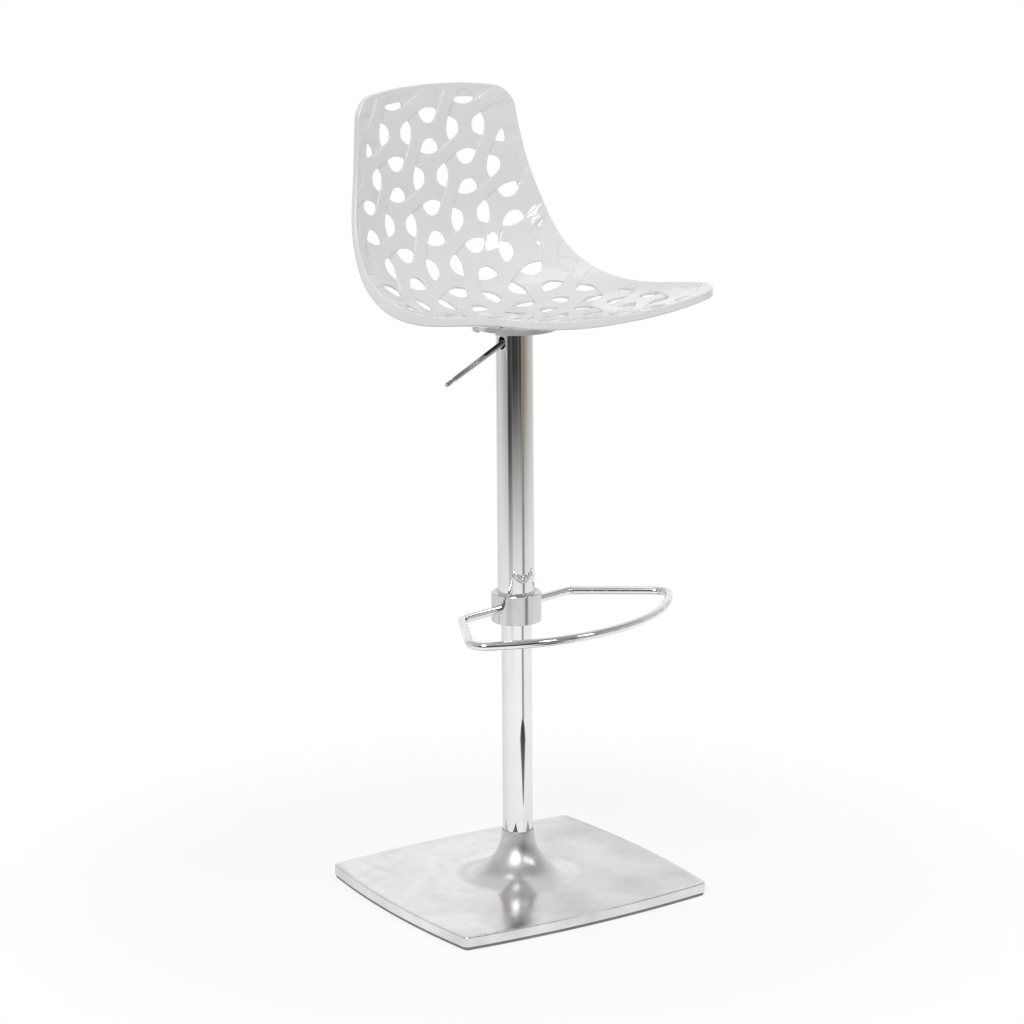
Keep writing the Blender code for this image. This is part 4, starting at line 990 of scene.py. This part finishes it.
fixed = from_bmesh(tube("column_tube", TUBE_R, TUBE_WALL, TUBE_EDGE))
stand_for(piece("fixed_tube", radial_normals(fixed), CHROME), "base", "column_tube")
stand_for(piece("slotted_sleeve", slotted_sleeve(), CHROME), "seat_carriage", "column_sleeve")
stand_for(piece("turned_collar", footrest_collar(), COLLAR_METAL), "seat_carriage", "footrest_collar")
stand_for(piece("footrest_rod", footrest_ring(), CHROME), "seat_carriage", "footrest_ring")
stand_for(piece("lever_rod", release_lever(), DARK_CHROME), "lever", "release_lever")


# Stage: pale floor, studio surroundings and camera

FLOOR_R, FADE_FROM, FADE_TO = 0.85, 0.40, 0.8075    # the floor fades into the background
FLOOR_TONES, FLOOR_GRAIN, FLOOR_GLOW = (0.955, 0.985), 300.0, 0.8
FLOOR_BOUNCE, ROOF_BOUNCE = 0.38, 0.75              # share of their light that matt surfaces get
WHITE = (1.0, 1.0, 1.0)
TAN, TAN_FROM = (1.13, 1.0, 0.86), 0.75             # tint of the walls on the right
ZENITH = (0.60, 0.60, 0.61)                         # straight overhead
WALL_GRAIN, WALL_TONES = 70.0, (0.82, 1.18)
# Heights, as sines, between which the ground turns into wall, wall into roof and roof into zenith
GROUND_EDGE, ROOF_EDGE, ZENITH_EDGE = (-0.265, -0.172), (0.38, 0.60), (0.955, 0.99)
# Brightness of walls, roof and ground, by turns from the camera's side over the left and the far side
ROOM = [(0.0, 0.05), (0.022, 0.02), (0.045, 0.10), (0.085, 0.06), (0.110, 0.025), (0.126, 0.36),
        (0.19, 0.50), (0.27, 0.72), (0.37, 0.68), (0.45, 0.95), (0.55, 0.95), (0.63, 0.66), (0.73, 0.54),
        (0.80, 0.33), (0.824, 0.32), (0.833, 0.06), (0.842, 0.28), (0.865, 0.24), (0.885, 0.22),
        (0.897, 0.02), (0.915, 0.06), (0.94, 0.10), (0.965, 0.04), (1.0, 0.05)]
ROOF = [(0.0, 0.75), (0.08, 0.72), (0.16, 0.55), (0.36, 0.55), (0.45, 0.80), (0.52, 0.80), (0.60, 0.65),
        (0.66, 0.36), (0.86, 0.32), (0.93, 0.48), (1.0, 0.75)]
PAPER = [(0.0, 1.04), (0.04, 1.03), (0.107, 1.02), (0.181, 0.98), (0.265, 0.92), (0.40, 0.82), (0.50, 0.82),
         (0.64, 0.96), (0.72, 0.99), (0.807, 0.96), (0.838, 0.98), (0.894, 1.02), (0.952, 1.06), (1.0, 1.04)]
# How far the edge of the ground drops
SHORE = [(0.0, 0.0), (0.045, 0.0), (0.055, 0.018), (0.125, 0.018), (0.135, 0.0), (1.0, 0.0)]
# Painted reflection: a dark streak on the ground that only reflections see, drawn into the tube: beyond the
# floor, and on it as half widths by distance
STREAK = [(0.848, 0.45), (0.866, 0.28), (0.884, 0.45)]
STREAK_AT, STREAK_TONE = 0.878, 0.06
STREAK_HALF = [(0.0, 1.0e-5), (0.38, 1.0e-5), (0.44, 0.020), (0.58, 0.044), (0.74, 0.078), (0.80, 0.058),
               (0.85, 0.026)]


def blank(owner):
    """Empty node tree of a material or world."""
    owner.use_nodes = True
    owner.node_tree.nodes.clear()
    return owner.node_tree


def bearing(tree, vector):
    """Turns round the stool of a point or direction, from the camera's side, and its turned coordinates."""
    turned = add(tree, "Mapping", {"Vector": vector, "Rotation": (0.0, 0.0, CAM_HEADING)},
                 vector_type="POINT").outputs["Vector"]
    axes = add(tree, "SeparateXYZ", {"Vector": turned}).outputs
    azimuth = number(tree, "ARCTAN2", axes["X"], axes["Y"])
    return number(tree, "MULTIPLY_ADD", azimuth, 1 / (2 * math.pi), 0.5), axes


def floor():
    """Round pale floor; its reflections have the ground's brightness and a painted dark streak that the
    camera doesn't see.
    """
    bm = bmesh.new()
    bmesh.ops.create_circle(bm, cap_ends=True, segments=ROUND_STEPS, radius=FLOOR_R)
    mat = bpy.data.materials.new("pale_floor")
    tree = blank(mat)
    place = add(tree, "TexCoord").outputs["Object"]
    away = add(tree, "VectorMath", {0: place}, operation="LENGTH").outputs["Value"]
    fade = spread(tree, away, 0.0, 1.0, FADE_FROM, FADE_TO)
    fine = spread(tree, noise(tree, place, FLOOR_GRAIN), *FLOOR_TONES)
    matt = add(tree, "BsdfDiffuse", {"Color": fine}).outputs["BSDF"]
    path = add(tree, "LightPath").outputs
    power = spread(tree, path["Is Diffuse Ray"], 1.0, FLOOR_BOUNCE, 0.0, 1.0)
    around, _ = bearing(tree, place)
    # Painted reflection: a dark streak on the floor that only glossy rays see, for the tube to reflect
    aside = number(tree, "ABSOLUTE", number(tree, "SUBTRACT", around, STREAK_AT))
    aside = number(tree, "DIVIDE", aside, grey(tree, away, STREAK_HALF))
    streak = spread(tree, aside, STREAK_TONE, 1.0, 0.5, 1.0)
    change = number(tree, "MULTIPLY_ADD", grey(tree, around, PAPER), streak, -1.0)
    power = number(tree, "MULTIPLY_ADD", change, path["Is Glossy Ray"], power)
    glow = add(tree, "Emission", {"Color": (*WHITE, 1.0), "Strength": power}).outputs["Emission"]
    lifted = add(tree, "MixShader", {"Fac": FLOOR_GLOW, 1: matt, 2: glow}).outputs["Shader"]
    mix = add(tree, "MixShader", {"Fac": fade, 1: lifted, 2: glow}).outputs["Shader"]
    add(tree, "OutputMaterial", {"Surface": mix})
    ob = piece("studio_floor", from_bmesh(bm), mat)


def studio():
    """White for the eye; for reflections, a dark room on the camera's side with lit walls round it."""
    world = bpy.data.worlds.new("studio")
    bpy.context.scene.world = world
    tree = blank(world)
    around, axes = bearing(tree, add(tree, "TexCoord").outputs["Generated"])
    path = add(tree, "LightPath").outputs
    wall = tint(tree, around, *[(place, tuple(tone * part for part in (TAN if place > TAN_FROM else WHITE)))
                                for place, tone in ROOM])
    fine = add(tree, "TexNoise", {"W": around, "Scale": WALL_GRAIN, "Detail": 3.0, "Roughness": 0.6},
               noise_dimensions="1D").outputs["Fac"]
    wall = scaled(tree, wall, spread(tree, fine, *WALL_TONES, 0.35, 0.65))
    # Painted reflection: the ground beyond the floor carries the same dark streak for reflections
    paper = grey(tree, around, sorted(PAPER + STREAK))
    paper = mixed(tree, path["Is Diffuse Ray"], paper, (*(FLOOR_BOUNCE,) * 3, 1.0))
    level = number(tree, "ADD", axes["Z"], grey(tree, around, SHORE))
    low = mixed(tree, spread(tree, level, 1.0, 0.0, *GROUND_EDGE), wall, paper)
    dim = spread(tree, path["Is Diffuse Ray"], 1.0, ROOF_BOUNCE, 0.0, 1.0)
    roof = scaled(tree, grey(tree, around, ROOF), dim)
    roof = mixed(tree, spread(tree, axes["Z"], 0.0, 1.0, *ZENITH_EDGE), roof, (*ZENITH, 1.0))
    room = mixed(tree, spread(tree, axes["Z"], 0.0, 1.0, *ROOF_EDGE), low, roof)
    shown = mixed(tree, path["Is Camera Ray"], room, (*WHITE, 1.0))
    back = add(tree, "Background", {"Color": shown, "Strength": 1.0}).outputs["Background"]
    add(tree, "OutputWorld", {"Surface": back})


def softbox(name, place, target, size, power, mirrored=True):
    """An area light that aims at a target, and shows in reflections or not."""
    light = bpy.data.lights.new(name, "AREA")
    light.shape, light.size, light.size_y, light.energy = "RECTANGLE", *size, power
    ob = placed(name, light)
    ob.visible_camera, ob.visible_glossy = False, mirrored
    ob.location = place
    ob.rotation_euler = (Vector(target) - Vector(place)).to_track_quat("-Z", "Y").to_euler()


def camera():
    """Camera at the photograph's angle."""
    b, th = CAM_HEADING, CAM_PITCH
    ahead = Vector((math.sin(b) * math.cos(th), math.cos(b) * math.cos(th), -math.sin(th)))
    right = Vector((math.cos(b), -math.sin(b), 0.0))
    ahead = ahead * math.cos(CAM_YAW) + right * math.sin(CAM_YAW)
    right = ahead.cross(Vector((0, 0, 1))).normalized()
    up = right.cross(ahead)
    c, s = math.cos(CAM_ROLL), math.sin(CAM_ROLL)
    right, up = right * c + up * s, up * c - right * s
    data = bpy.data.cameras.new("photo_camera")
    data.lens, data.sensor_width = CAM_LENS, CAM_SENSOR
    ob = placed("photo_camera", data)
    turn = Matrix((right, up, -ahead)).transposed()
    ob.matrix_world = Matrix.Translation(CAM_PLACE) @ turn.to_4x4()
    bpy.context.scene.camera = ob


floor()
studio()
softbox("top_softbox", (0.35, 0.45, 3.0), (0, 0, 0.8), (1.2, 0.9), 3.0)
softbox("left_softbox", (-2.29, -1.22, 2.4), (0, 0, 0.9), (1.2, 1.2), 44.0)
softbox("front_softbox", (0.6, -2.6, 2.3), (0, 0.1, 1.0), (1.4, 1.0), 13.0, False)
softbox("gloss_window_1", (0.91, -1.65, 1.86), (0.1, 0.17, 0.93), (0.26, 0.42), 3.3)
softbox("gloss_window_2", (0.05, -1.82, 1.86), (0.19, 0.17, 0.93), (0.26, 0.46), 3.6)
camera()
bpy.context.scene.view_settings.view_transform = "Standard"
